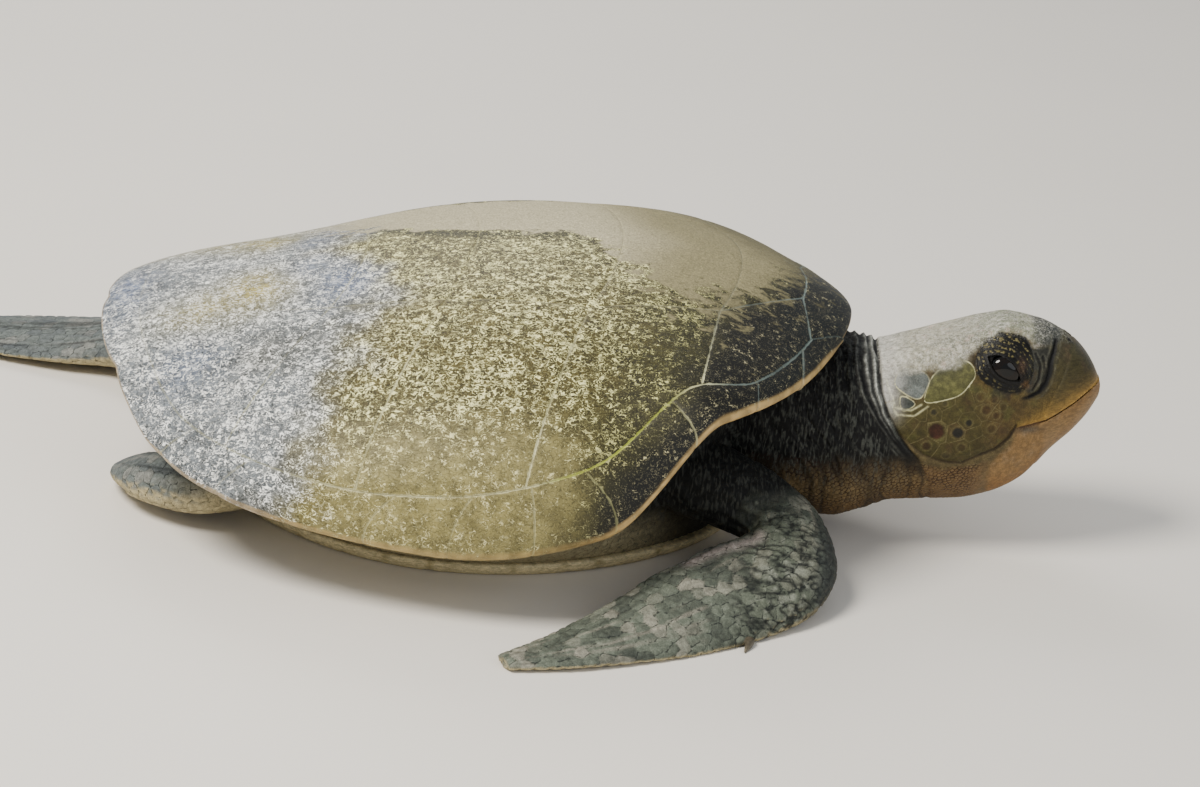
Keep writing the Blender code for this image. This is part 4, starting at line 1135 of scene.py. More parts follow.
def scute(name, plan, looks, material, slot="olive_scute"):
    """One vertebral or costal scute."""
    plan = inset_grid(plan, JOINT)
    top = on_shell(plan)
    seam = border_distance(top)
    outer = on_shell(plan, worn(seam, top, looks.relief))
    under = on_shell(plan, PLATE + 0 * seam)
    if grid_normals(outer)[len(outer) // 2, outer.shape[1] // 2, 2] < 0:
        outer, under, seam = outer[:, ::-1], under[:, ::-1], seam[:, ::-1]
    made = add_plate(name, outer, under)
    points = np.vstack([outer.reshape(-1, 3), under.reshape(-1, 3)])
    both = np.concatenate([seam.ravel(), 0 * seam.ravel()])
    store_zones(made.data, looks, points, both)
    return dress(made, material, slot, name)


def inset_grid(plan, by):
    """Draws a grid's border in, which leaves the open line between scutes."""
    grid = plan.copy()
    grid[0] += unit(plan[1] - plan[0]) * by
    grid[-1] += unit(plan[-2] - plan[-1]) * by
    grid[:, 0] += unit(plan[:, 1] - plan[:, 0]) * by
    grid[:, -1] += unit(plan[:, -2] - plan[:, -1]) * by
    return grid


def spine_corner(index):
    """Where the seam in front of a vertebral scute meets the costal scutes."""
    return np.array(SPINE_CORNERS[index]) if index < len(SPINE_CORNERS) else border(SPINE_REAR)


def spine_seam(index):
    """The seam in front of a vertebral scute as a curve from right to left."""
    if index == len(SPINE_CORNERS):
        def rear(share):
            """The hind edge of the last vertebral scute, which follows the rim's scutes."""
            angle = 180 - (180 - SPINE_REAR) * np.abs(2 * share[:, 0] - 1)
            return border(angle) * np.column_stack([np.ones(len(angle)),
                                                    np.sign(2 * share[:, 0] - 1)])
        return rear
    x, half = SPINE_CORNERS[index]
    middle = SPINE_MIDDLES[index]

    def seam(share):
        """A seam that bows between its two corners."""
        across = 2 * share[:, 0] - 1
        return np.column_stack([middle + (x - middle) * across ** 2, half * across])
    return seam


def make_scutes(looks, material):
    """The costal and the vertebral scutes."""
    for side, word in SIDES:
        for number in range(5):
            ends = COSTAL_ANGLES[number], COSTAL_ANGLES[number + 1]
            outer = lambda share: border(ends[0] + (ends[1] - ends[0]) * share[:, 0])
            inner = line_between(spine_corner(number), spine_corner(number + 1))
            reach = outer(np.array([[0.0], [1.0]]))
            front = line_between(spine_corner(number), reach[0])
            back = line_between(spine_corner(number + 1), reach[1])
            u = steps(np.linalg.norm(front(1.0) - front(0.0)) + 0.03, 50) ** 0.8
            v = steps(np.linalg.norm(inner(1.0) - inner(0.0)) + 0.02, 44)
            plan = patch(front, back, inner, outer, u, v)
            plan[..., 1] *= side
            scute(f"costal_scute_{word}_{number + 1}", plan, looks, material)
    for number in range(5):
        front, back = spine_seam(number), spine_seam(number + 1)
        ends = np.array([[0.0], [1.0]])
        right, left = (line_between(front(ends)[i], back(ends)[i]) for i in (0, 1))
        wide = max(np.ptp(front(ends)[:, 1]), np.ptp(back(ends)[:, 1]))
        deep = abs(front(ends)[0, 0] - back(ends)[0, 0])
        plan = patch(front, back, right, left, steps(wide, 54), steps(deep + 0.02, 36))
        scute(f"vertebral_scute_{number + 1}", plan, looks, material)


# Margin

def notch(angle):
    """How far the rear rim is drawn in by the seams."""
    nearest = min(abs(angle - seam) for seam in MARGINAL_SEAMS if seam > 110)
    weight = min(max((angle - 110) / 40, 0.0), 1.0)
    return 1 - REAR_NOTCH * weight * math.exp(-(nearest / NOTCH_WIDTH) ** 2)


def lip_drop(angle):
    """How far the folded lip hangs lower at the sides."""
    return LIP_DROP * math.sin(math.radians(angle)) ** 2


def bend(start, corner, end, count):
    """A rounded corner between two points."""
    t = np.linspace(0, 1, count)[:, None]
    return start * (1 - t) ** 2 + corner * 2 * t * (1 - t) + end * t ** 2


def folded(top, rim_point, drop):
    """Outer and inner line of a scute that folds round the rim and in below."""
    inward = -np.append(rim_point[:2], 0) / np.linalg.norm(rim_point[:2])
    up = np.array([0.0, 0.0, 1.0])
    edge = rim_point + inward * 0.002 - up * RIM_EDGE
    lip = rim_point + inward * LIP - up * (RIM_EDGE + drop)
    under = edge + (lip - edge) * 0.20
    turn = bend(rim_point, edge, under, 8)[1:]
    to_lip = under + (lip - under) * np.linspace(0, 1, 10)[1:, None]
    outer = np.vstack([top, rim_point, turn, to_lip])
    corner = rim_point + inward * 0.0068 - up * 0.0005
    inner = np.vstack([on_shell(top[0][None, :2], np.array([PLATE]))[0],
                       on_shell(top[len(top) // 2][None, :2], np.array([PLATE]))[0],
                       corner, lip + up * PLATE])
    size = travelled(inner)
    travel = travelled(outer)
    pivot = len(top)
    at = np.where(travel <= travel[pivot], travel / travel[pivot] * size[2],
                  size[2] + (travel - travel[pivot]) / (travel[-1] - travel[pivot])
                  * (size[3] - size[2]))
    inner = np.column_stack([np.interp(at, size, inner[:, i]) for i in range(3)])
    return outer, inner


def rim_shares(width):
    """Shares from the costal seam to the rim, close together at both ends."""
    near = np.array(EDGE_STEPS) / width
    rest = 1 - (1 - np.linspace(0, 1, 22)) ** 1.8
    rest = near[-1] + (1 - near[-1]) * rest
    return np.concatenate([near[:-1], rest[:-1]])


def marginal_lines(angle):
    """Outer and inner line of a marginal scute at an angle."""
    start = angle + float(smooth(LEAN, angle))
    reach = float(smooth(BORDER, start))
    shares = rim_shares(0.05)
    angles = start + (angle - start) * shares
    along = reach + (1 - reach) * shares
    along[0] += 0.0001
    pull = 1 + (notch(angle) - 1) * ramp(shares, 0.6, 1.0)
    plan = outline(angles) * along[:, None]
    top = np.column_stack([plan * pull[:, None], shell_height(angles, along)])
    rim_point = np.append(outline(angle) * notch(angle), shell_height(angle, 1.0))
    return folded(top, rim_point, lip_drop(angle))


def nuchal_lines(across):
    """Outer and inner line of the nuchal scute, from -1 on the right to 1."""
    angle = NUCHAL_EDGE - np.degrees(JOINT / HALF_LENGTH)
    rim_plan = outline(abs(angle * across))
    rim_plan[1] *= np.sign(across)
    wide = border(NUCHAL_EDGE + float(smooth(LEAN, NUCHAL_EDGE)))
    middle, corner = SPINE_MIDDLES[0], SPINE_CORNERS[0]
    y = wide[1] * across
    if abs(y) < corner[1]:
        x = middle + (corner[0] - middle) * (y / corner[1]) ** 2
    else:
        x = np.interp(abs(y), (corner[1], wide[1]), (corner[0], wide[0]))
    inner = np.array([x + JOINT * 2, y])
    shares = rim_shares(0.045)[:, None]
    plan = inner + (rim_plan - inner) * shares
    top = np.column_stack([plan, height_over(plan)])
    rim_point = np.append(rim_plan, shell_height(abs(angle * across), 1.0))
    return folded(top, rim_point, 0.0)


def rim_plate(name, lines, side, looks, material):
    """One scute of the rim from its outer and inner lines."""
    outer = mirrored([pair[0] for pair in lines], side)
    inner = mirrored([pair[1] for pair in lines], side)
    tops = len(rim_shares(0.05))
    seam = border_distance(outer)
    to_lip = np.linalg.norm(outer - outer[:, -1:], axis=2)
    ends = np.minimum(np.linalg.norm(outer - outer[:1], axis=2),
                      np.linalg.norm(outer - outer[-1:], axis=2))
    seam = np.where(to_lip < 0.008, np.maximum(seam, np.minimum(ends, 0.02)), seam)
    if side < 0:
        outer, inner, seam, ends = outer[::-1], inner[::-1], seam[::-1], ends[::-1]
    normal = grid_normals(outer)
    middle = outer[len(outer) // 2, 4]
    if normal[len(outer) // 2, 4] @ (middle * (1, 1, 0) + (0, 0, 0.2)) < 0:
        outer, inner, seam, ends = outer[::-1], inner[::-1], seam[::-1], ends[::-1]
        normal = grid_normals(outer)
    outer = outer - normal * worn(seam, outer, looks.relief)[..., None]
    made = add_plate(name, outer, inner)
    points = np.vstack([outer.reshape(-1, 3), inner.reshape(-1, 3)])
    rim = np.linalg.norm(outer - outer[:, tops:tops + 1], axis=2)
    rim = np.where(np.arange(outer.shape[1]) > tops, -rim, rim).ravel()
    to_top = np.linalg.norm(outer - outer[:, :1], axis=2)
    cross = (ends < to_top).ravel().astype(float)
    both = np.concatenate([seam.ravel(), 0 * seam.ravel()])
    store_zones(made.data, looks, points, both, 1.0, np.concatenate([rim, rim]),
                np.concatenate([cross, cross]))
    return dress(made, material, "greenish_margin_scute", name)


def make_margin(looks, material):
    """The marginal scutes and the nuchal scute."""
    width = np.degrees(JOINT / HALF_WIDTH)
    for side, word in SIDES:
        for number, ends in enumerate(zip(MARGINAL_SEAMS, MARGINAL_SEAMS[1:]), 1):
            span = ends[1] - ends[0]
            angles = ends[0] + width + (span - 2 * width) * steps(np.radians(span) * 0.31, 28)
            rim_plate(f"marginal_scute_{word}_{number:02d}",
                      [marginal_lines(a) for a in angles], side, looks, material)
    shares = steps(0.13, 44) * 2 - 1
    rim_plate("nuchal_scute", [nuchal_lines(s) for s in shares], 1, looks, material)


# Plastron

def plastron_outline(angle):
    """The plastron's rim in plan."""
    a = np.radians(angle)
    reach = np.where(np.cos(a) > 0, PLASTRON_FRONT, PLASTRON_REAR)
    return np.stack([reach * np.cos(a), PLASTRON_HALF_WIDTH * np.sin(a)
                     * (1 - 0.16 * np.cos(a) ** 2)], -1)


def make_plastron(looks):
    """The belly plate: horn with cross seams, a middle seam and worn, rounded sides."""
    angles = np.linspace(0, 360, 240, endpoint=False)
    rim = plastron_outline(angles)
    levels = [(0.985, PLASTRON_DEPTH), (1.0, 0.0118)]
    levels += [(1.0 - 0.05 * (1 - math.cos(t)), 0.0115 * (1 - math.sin(t)))
               for t in np.linspace(0.15, math.pi / 2, 8)]
    levels += [(s, 0.0) for s in np.linspace(0.93, 0.02, 60)]
    rings = [np.column_stack([rim * s, np.full(len(rim), z)]) for s, z in levels]
    points = np.array(rings).reshape(-1, 3)
    count = len(angles)
    faces = [tuple(int(i * count + j) for i, j in ((r, k), (r + 1, k), (r + 1, (k + 1) % count),
                                                   (r, (k + 1) % count)))
             for r in range(len(rings) - 1) for k in range(count)]
    faces += [tuple(range(count)), tuple(range((len(rings) - 1) * count, len(rings) * count))]
    x, y = points[:, 0], points[:, 1]
    seam = np.abs(y + 0.004 * noise(points, 0.06, 21, 2))
    for at in PLASTRON_SEAMS:
        curve = at - 0.06 * np.abs(y) ** 1.2 / 0.2 ** 0.2 * np.sign(at + 0.02)
        seam = np.minimum(seam, np.abs(x - curve + 0.003 * noise(points, 0.05, 22, 2)))
    side = np.abs(np.abs(y) - (0.135 + 0.012 * np.cos(x * 14)))
    seam = np.where((np.abs(x) < 0.15) & (np.abs(y) > 0.1), np.minimum(seam, side), seam)
    seam = np.where(np.abs(y) > 0.147, np.minimum(seam, np.abs((x + 0.5) % 0.075 - 0.0375)),
                    seam)
    points[:, 2] += np.where(points[:, 2] < 0.004, 0.0009 * bell(seam, 0.0022), 0)
    made = new_object("plastron_horn", points, faces)
    face_outwards(made.data)
    tint = filled(looks.plastron, len(points))
    paint(tint, ramp(noise(points, 0.07, 24, 3), 0.0, 0.8) * 0.35, MARK.belly_stain)
    paint(tint, bell(seam, 0.0016) * 0.85, looks.plastron_seam)
    store(made.data, "tint", tint)
    return dress(made, horn_material("plastron_horn", 0.5), "cream_plastron", "plastron")


# Skin

def trunk_section(angle):
    """Half section of the body under the shell, from inside the rim down to the plastron."""
    if angle < NUCHAL_EDGE:
        rim_point = np.append(outline(angle), shell_height(angle, 1.0))
        drop = 0.0
    else:
        rim_point = np.append(outline(angle) * notch(angle), shell_height(angle, 1.0))
        drop = lip_drop(angle)
    inward = -np.append(rim_point[:2], 0) / np.linalg.norm(rim_point[:2])
    up = np.array([0.0, 0.0, 1.0])
    lip = rim_point + inward * LIP - up * (RIM_EDGE + drop)
    room = 0.0008
    start = lip + inward * room
    side = [start + inward * 0.030 + up * 0.016, start + inward * 0.004 + up * 0.011,
            start + up * 0.004, start]
    foot = np.append(plastron_outline(angle) * 0.985, PLASTRON_DEPTH + 0.0006)
    hollow = 0.030 * math.cos(math.radians(angle)) ** 2
    wall = [start + (foot - start) * f + inward * (hollow * bulge)
            for f, bulge in ((0.12, 0.8), (0.45, 1.0), (0.8, 0.35))]
    under = foot + inward * 0.03
    return np.array([*side, *wall, foot, under])


def trunk_mesh():
    """The body under the shell as a closed mesh."""
    half = list(np.linspace(0, 180, 121))
    around = [(a, 1) for a in half] + [(a, -1) for a in reversed(half[1:-1])]
    loops = np.array([mirrored(trunk_section(a), side) for a, side in around])
    fine = []
    for loop in loops:
        travel = travelled(loop)
        at = np.linspace(0, travel[-1], 40)
        fine.append(np.column_stack([np.interp(at, travel, loop[:, i]) for i in range(3)]))
    loops = np.array(fine)
    stations, points = loops.shape[:2]
    vertices = np.vstack([loops.reshape(-1, 3), (0, 0, 0.16), (0, 0, PLASTRON_DEPTH + 0.0006)])
    faces = []
    for i in range(stations):
        here, there = i * points, (i + 1) % stations * points
        for j in range(points - 1):
            faces.append((here + j, there + j, there + j + 1, here + j + 1))
        faces += [(here, len(vertices) - 2, there),
                  (there + points - 1, len(vertices) - 1, here + points - 1)]
    return vertices, faces


def flesh():
    """All the body's soft forms as closed meshes that run into one another."""
    forms = [trunk_mesh(), closed_loft(spine_loops(HEAD_LINES, 130, 90)),
             closed_loft(spine_loops(TAIL_LINES, 40, 40))]
    for table, sides in ((FRONT_LIMB, (1, -1)), (HIND_STRETCHED, (1,)), (HIND_TUCKED, (-1,))):
        for side in sides:
            forms.append(closed_loft(mirrored(limb_loops(table, 100, 40), side)))
    points, faces, first = [], [], 0
    for some_points, some_faces in forms:
        points.append(some_points)
        faces += [tuple(first + i for i in face) for face in some_faces]
        first += len(some_points)
    return np.vstack(points), faces


def remeshed(points, faces, voxel):
    """One closed mesh round all the forms."""
    made = new_object("flesh", points, faces)
    face_outwards(made.data)
    modifier = made.modifiers.new("one_skin", "REMESH")
    modifier.mode = "VOXEL"
    modifier.voxel_size = voxel
    graph = bpy.context.evaluated_depsgraph_get()
    mesh = bpy.data.meshes.new_from_object(made.evaluated_get(graph))
    bpy.data.objects.remove(made, do_unlink=True)
    return mesh


def numbers(items, name, width=3, kind=float):
    """One property of each vertex, edge, face or attribute value, as rows."""
    found = np.empty(len(items) * width, kind)
    items.foreach_get(name, found)
    return found.reshape(-1, width)


def coordinates(mesh):
    """Where the vertices are."""
    return numbers(mesh.vertices, "co")


def put_back(mesh, points):
    """Moves the vertices to the points."""
    mesh.vertices.foreach_set("co", points.astype(np.float32).ravel())
    mesh.update()


def normals_of(mesh):
    """Which way the skin faces at each vertex."""
    mesh.update()
    return numbers(mesh.vertex_normals, "vector", 3, np.float32).astype(float)


def edges_of(mesh):
    """The two vertices of each edge."""
    return numbers(mesh.edges, "vertices", 2, np.int32)


def relaxed(points, pairs, rounds, share=0.5, firm=0.0):
    """Evens the mesh out; firm draws it back a little each round so that it doesn't shrink."""
    count = np.bincount(pairs.ravel(), minlength=len(points))[:, None]
    share = np.broadcast_to(np.asarray(share, float), (len(points),))[:, None]
    for step in range(rounds):
        total = np.column_stack([
            np.bincount(pairs[:, 0], points[pairs[:, 1], i], len(points))
            + np.bincount(pairs[:, 1], points[pairs[:, 0], i], len(points)) for i in range(3)])
        move = total / np.maximum(count, 1) - points
        points = points + move * (share if step % 2 == 0 or not firm else -share * firm)
    return points


def refined(mesh, chosen):
    """Splits the chosen faces in four."""
    shape = bmesh.new()
    shape.from_mesh(mesh)
    shape.faces.ensure_lookup_table()
    edges = set()
    for index in np.nonzero(chosen)[0]:
        edges.update(shape.faces[index].edges)
    bmesh.ops.subdivide_edges(shape, edges=list(edges), cuts=1, use_grid_fill=True)
    shape.to_mesh(mesh)
    shape.free()


def face_middles(mesh):
    """The middle of each face."""
    return numbers(mesh.polygons, "center")


def behind_collar(points):
    """How far a point lies behind the line where the head ends, along X."""
    return -before_line(points[:, [0, 2]], COLLAR)


def skin_base(voxel):
    """One closed skin round all the flesh, fine on the head, finest round the eyes."""
    mesh = remeshed(*flesh(), voxel)
    points = relaxed(coordinates(mesh), edges_of(mesh), 12, 0.55, 0.98)
    put_back(mesh, points)
    middles = face_middles(mesh)
    angle, share = polar(middles[:, :2])
    edge_height = shell_height(angle, 1.0) - RIM_EDGE
    roof = (share < 0.78) & (middles[:, 2] > edge_height - 0.02) & (middles[:, 0] < 0.27)
    normal = numbers(mesh.polygons, "normal")
    roof &= (normal[:, 2] > 0.25) & (middles[:, 2] > 0.085)
    ground = plastron_outline(np.degrees(np.arctan2(middles[:, 1] / 0.2,
                                                    middles[:, 0] / 0.25)))
    share = np.hypot(*middles[:, :2].T) / np.hypot(*ground.T)
    base = (share < 0.93) & (middles[:, 2] < PLASTRON_DEPTH + 0.006) & (normal[:, 2] < -0.5)
    shape = bmesh.new()
    shape.from_mesh(mesh)
    shape.faces.ensure_lookup_table()
    hidden = [shape.faces[i] for i in np.nonzero(roof | base)[0]]
    bmesh.ops.delete(shape, geom=hidden, context="FACES")
    shape.to_mesh(mesh)
    shape.free()
    middles = face_middles(mesh)
    refined(mesh, (middles[:, 0] > 0.30) & (np.abs(middles[:, 1]) < 0.10)
            & (middles[:, 2] > np.interp(middles[:, 0], (0.30, 0.34), (0.085, 0.0))))
    points = relaxed(coordinates(mesh), edges_of(mesh), 6, 0.5, 0.98)
    put_back(mesh, points)
    middles = face_middles(mesh)
    aside = np.abs(middles[:, 1])
    orbit = signed(middles[:, [0, 2]], ORBIT)
    refined(mesh, (orbit < 0.006) & (aside > 0.025))
    put_back(mesh, relaxed(coordinates(mesh), edges_of(mesh), 2, 0.5, 0.98))
    return mesh


def limb_place(points, table, side):
    """Row along a limb, place across it from -1 to 1, and how near its surface each point is."""
    at, path, heading = limb_path(table, 160)
    centre = path[:, :3] * (1, side, 1)
    tree = search_tree(centre)
    low, high = centre.min(0) - 0.07, centre.max(0) + 0.07
    near = np.all((points > low) & (points < high), axis=1)
    index = np.zeros(len(points), int)
    for i in np.nonzero(near)[0]:
        index[i] = tree.find(points[i])[1]
    away = points - centre[index]
    across = np.column_stack([-heading[index, 1], heading[index, 0] * side])
    side_way = np.sum(away[:, :2] * across, axis=1) / (path[index, 3] / 2)
    height = np.abs(away[:, 2]) / (path[index, 4] / 2 + 0.02)
    reach = np.hypot(side_way / 1.15, height)
    return at[index], side_way, np.where(near, reach, 9.0)


def over_mouth(points):
    """How far a point of the head lies over the mouth line."""
    line = np.array(sorted(MOUTH_LINE))
    return points[:, 2] - np.interp(points[:, 0], line[:, 0], line[:, 1])


def before_line(side, corners):
    """How far a point at the side of the head lies in front of an upright line."""
    line = np.array(sorted((z, x) for x, z in corners))
    return side[:, 0] - np.interp(side[:, 1], line[:, 0], line[:, 1])


def under_throat_top(points):
    """How far a point of the head lies under the upper edge of the throat."""
    line = np.array(THROAT_TOP)
    return np.interp(points[:, 0], line[:, 0], line[:, 1]) - points[:, 2]


def nostril_distance(points, stretch=(1.0, 1.0, 1.0)):
    """Distance to the nearer nostril, stretched per axis."""
    one_side = np.column_stack([points[:, 0], np.abs(points[:, 1]), points[:, 2]])
    return np.linalg.norm((one_side - NOSTRIL) / stretch, axis=1)


def under_cheek(side):
    """How far a point at the side of the head lies under the cheek's lower crease."""
    line = np.array(CHEEK_CREASE)
    return np.interp(side[:, 0], line[:, 0], line[:, 1]) - side[:, 1]


def shape_head(points, normals):
    """The larger forms of the head: orbit, groove, mouth, folds, nostrils and lids."""
    side = points[:, [0, 2]]
    aside = np.abs(points[:, 1])
    at_side = ramp(aside, 0.012, 0.026) * (behind_collar(points) < 0.03)
    move = np.zeros(len(points))
    # the orbit: a low swollen form with a moat round it
    orbit = signed(side, rounded(ORBIT))
    orbit = np.where(at_side > 0, orbit, 0.05)
    move += at_side * 0.0022 * ramp(-orbit, 0.0, 0.012)
    move -= at_side * 0.0012 * bell(orbit, 0.0018)
    # the brow over it
    brow = bell(side[:, 0] - 0.485, 0.026) * bell(orbit - 0.006, 0.005)
    move += at_side * brow * 0.0012 * (side[:, 1] > 0.195)
    # groove in front of the eye; colour_eye paints it black as painted shade
    groove, share = line_distance(side, TEAR_GROOVE)
    width = np.interp(share, (0, 0.2, 0.6, 0.8, 1), (0.0008, 0.0020, 0.0024, 0.0016, 0.0010))
    tail = ramp(share, 1.0, 0.80)
    move -= at_side * tail * 0.0026 * bell(groove, width)
    for line in TEAR_FOLDS:
        gap = line_distance(side, line)[0]
        move -= at_side * 0.0011 * bell(gap, 0.0014)
    # the mouth: the upper jaw stands over the lower
    under = -over_mouth(points)
    front = ramp(side[:, 0], 0.497, 0.510)
    move -= front * 0.0016 * ramp(under, -0.0002, 0.0010) * np.exp(-np.clip(under, 0, 1) / 0.012)
    move -= front * 0.0016 * bell(under - 0.0006, 0.0010)
    fold, share = line_distance(side + 0.0012 * noise(points, 0.011, 43, 2)[:, None], CHEEK_CREASE)
    move -= at_side * (0.0008 + 0.0014 * share) * bell(fold, 0.0016)
    fold = line_distance(side + 0.0010 * noise(points, 0.009, 44, 2)[:, None],
                         np.array(CHEEK_CREASE)[2:] - (0.004, 0.0052))[0]
    move -= at_side * 0.0009 * bell(fold, 0.0014)
    bulge = (ramp(line_distance(side, CHEEK_CREASE)[0], 0.0, 0.010)
             * ramp(-under_cheek(side), 0, 0.01))
    move += at_side * 0.0012 * bulge * ramp(side[:, 0], 0.504, 0.474)
    pit = np.hypot((side[:, 0] - 0.506) / 1.6, side[:, 1] - 0.1300)
    move -= at_side * 0.0012 * bell(pit, 0.004)
    # nostrils
    away = nostril_distance(points, (1.0, 0.8, 1.2))
    move += 0.0007 * bell(away - 0.0034, 0.0014)
    move -= 0.0034 * bell(away, 0.0020, 4)
    return shape_lids(points + normals * move[:, None], side)


def shape_lids(points, side):
    """Closes the lids round the eyeballs, with a rolled edge."""
    almond = signed(side, eye_ring())
    for way in (-1, 1):
        centre = np.array(EYE_CENTRE) * (1, way, 1)
        near = (np.abs(side[:, 0] - centre[0]) < 0.04) & (points[:, 1] * way > 0.02)
        near &= np.abs(side[:, 1] - centre[2]) < 0.04
        spot = points[near]
        gap = almond[near]
        off = np.hypot(spot[:, 0] - centre[0], spot[:, 2] - centre[2]) / EYE_RADIUS
        ball = centre[1] * way + EYE_RADIUS * np.cbrt(np.clip(1 - off ** 3, 0, 1))
        ball = np.where(off < 1, ball, 0.0)
        base = spot[:, 1] * way
        lid = ball + 0.0017 * ramp(gap, -0.0012, 0.0010)
        crease = 0.0008 * bell(gap - 0.0042, 0.0009)
        crease += 0.0007 * bell(gap - 0.0078, 0.0010)
        outer = np.maximum(base - crease, lid)
        fade = ramp(gap, 0.0, 0.0022)
        roll = base - 0.0016 * (1 - fade)
        outer = np.maximum(np.minimum(outer, roll + 0.002), lid)
        sunk = np.where(ball > 0, ball - 0.0007, base - 0.0040)
        sunk = np.maximum(sunk, base - 0.0045)
        blend_in = ramp(gap, -0.0010, 0.0003)
        spot[:, 1] = way * (sunk * (1 - blend_in) + outer * blend_in)
        points[near] = spot
    return points


def neck_folds(points):
    """How far back from the head a point lies among the folds, which close up downwards."""
    spread = 0.55 + 0.55 * ramp(points[:, 2], 0.10, 0.185)
    warp = 0.0022 * noise(points, (0.012, 0.02, 0.03), 41, 2)
    return behind_collar(points) / spread + warp


def fold_strength(points, seed):
    """Where a pale fold stands out: in patches, and only high on the neck."""
    patchy = ramp(noise(points, (0.02, 0.02, 0.022), seed, 2), -0.45, 0.25)
    return (0.35 + 0.65 * patchy) * ramp(points[:, 2] + 0.01 * noise(points, 0.02, seed + 1), 0.105,
                                         0.150)


def shape_shoulder(points, normals):
    """Ridges of loose skin under the front of the shell, along its rim."""
    angle, share = polar(points[:, :2])
    below = shell_height(angle, 1.0) - points[:, 2]
    run = below + 0.35 * (1 - share) * 0.3 + 0.010 * noise(points, 0.035, 141, 2)
    ridge = 1 - np.abs(noise(np.column_stack([run, angle * 0.0004, 0 * run]), 0.0085, 142, 2)) * 2
    here = ramp(points[:, 0], 0.09, 0.14) * (1 - ramp(points[:, 0], 0.30, 0.33))
    here = here * ramp(points[:, 2], 0.02, 0.04) * (behind_collar(points) > 0.05)
    here = here * ramp(np.abs(points[:, 1]), 0.075, 0.10)
    return points - normals * (here * 0.0022 * np.clip(ridge, 0, 1) ** 2)[:, None]


def neck_creases(points):
    """Fine and coarse wrinkles that run up and down the neck, 1 in the bottom of each."""
    run = behind_collar(points) + 0.007 * noise(points, (0.03, 0.03, 0.04), 42, 2)
    drawn = np.column_stack([run, points[:, 1] * 0.20, points[:, 2] * 0.20])
    return (1 - np.abs(noise(drawn, 0.0052, 45, 2)) * 2.4,
            1 - np.abs(noise(drawn, 0.0115, 46, 1)) * 2.2)


def shape_neck(points, normals):
    """Folds behind the head and fine wrinkles round the neck."""
    back = behind_collar(points)
    aside = np.abs(points[:, 1])
    on_neck = (points[:, 0] > 0.235) & (aside < 0.12) & (back > -0.006)
    on_neck = on_neck & (points[:, 2] > 0.0)
    move = np.zeros(len(points))
    height = ramp(points[:, 2], 0.07, 0.12)
    at = neck_folds(points)
    move -= 0.0032 * bell(back - 0.0008, 0.0020) * (0.35 + 0.65 * height)
    for place_at, wide, seed in NECK_FOLDS:
        move += 0.0019 * fold_strength(points, seed) * bell(at - place_at, wide)
        move -= 0.0012 * height * bell(at - place_at - 0.0032, 0.0013)
    # wrinkles that run up and down the neck, some of them deeper
    crease, wide = neck_creases(points)
    depth = ramp(back, 0.010, 0.026) * (1 - 0.5 * ramp(back, 0.10, 0.14))
    depth = depth * (0.45 + 0.55 * ramp(points[:, 2], 0.05, 0.09))
    move -= depth * (0.0013 * np.clip(crease, 0, 1) ** 2 + 0.0014 * np.clip(wide, 0, 1) ** 3)
    return points + normals * (move * on_neck)[:, None]


def limb_streaks(row, across, size=(0.06, 0.006, 1.0), seed=91):
    """Noise drawn out along a limb."""
    return noise(np.column_stack([row * 0.05, across * 0.045, 0 * row]), size, seed, 2)


def elbow_at(points):
    """The bend of each front flipper, where the skin is cracked and folded."""
    return bell(points[:, 0] - 0.300, 0.045, 4) * ramp(np.abs(points[:, 1]), 0.150, 0.175)


def elbow_cracks(points):
    """Cracks across the bend of a front flipper, 1 in the bottom of each."""
    drawn = points * (0.38, 1.0, 1.0)
    return 1 - np.abs(noise(drawn, 0.0075, 94, 3)) * 3.0


def skin_pattern(points, head, zones):
    """Edge distance, tone and reach of the scale that each point is in."""
    edge = np.full(len(points), 0.02)
    random_tone = np.zeros(len(points))
    reach = np.zeros(len(points))
    number = np.full(len(points), -1)
    for key, (mask, spacing) in enumerate(zones.values(), 1):
        if not mask.any():
            continue
        some = points[mask]
        seeds = scatter(some, spacing, 100 + key)
        found, own, far = cells_of(some, seeds)
        edge[mask] = found
        reach[mask] = far / spacing
        random_tone[mask] = np.random.default_rng(200 + key).uniform(-1, 1, len(seeds))[own]
    # the plates of the head, each with its place
    seeds, plates, mark, size = [], [], [], []
    for x, z, radius, red in CHEEK_SCALES:
        for way in (-1, 1):
            seeds.append((x, way * float(head_side(x, z)), z))
            plates.append(len(plates) + CHEEK)
            mark.append(red)
            size.append(radius)
    for x, y, plate in CROWN_PLATES:
        for way in (-1, 1):
            seeds.append((x, way * y, float(head_top(x, y))))
            alone = plate in MIDDLE_PLATES
            plates.append(plate if alone or way < 0 else plate + LEFT_CROWN)
            mark.append(0)
            size.append(0.01)
    some = points[head]
    found, own, far = cells_of(some, seeds, np.array(plates))
    side = some[:, [0, 2]]
    red = np.array(mark, float)[own]
    plate = np.array(plates)[own]
    away = np.abs(some[:, 1]) > 0.02
    for i, ring in enumerate(TEMPLE_PLATES):
        gap = signed(side, rounded(ring))
        held = away & (gap < 0)
        found = np.where(held, -gap, np.where(away & (gap < found), gap, found))
        plate[held] = TEMPLE + i
        red[held] = 0
    edge[head] = found
    number[head] = plate
    reach[head] = far / np.array(size)[own]
    tones = np.random.default_rng(7).uniform(-1, 1, 400)
    random_tone[head] = tones[plate]
    spots = np.zeros(len(points))
    spots[head] = red
    return edge, random_tone, reach, number, spots


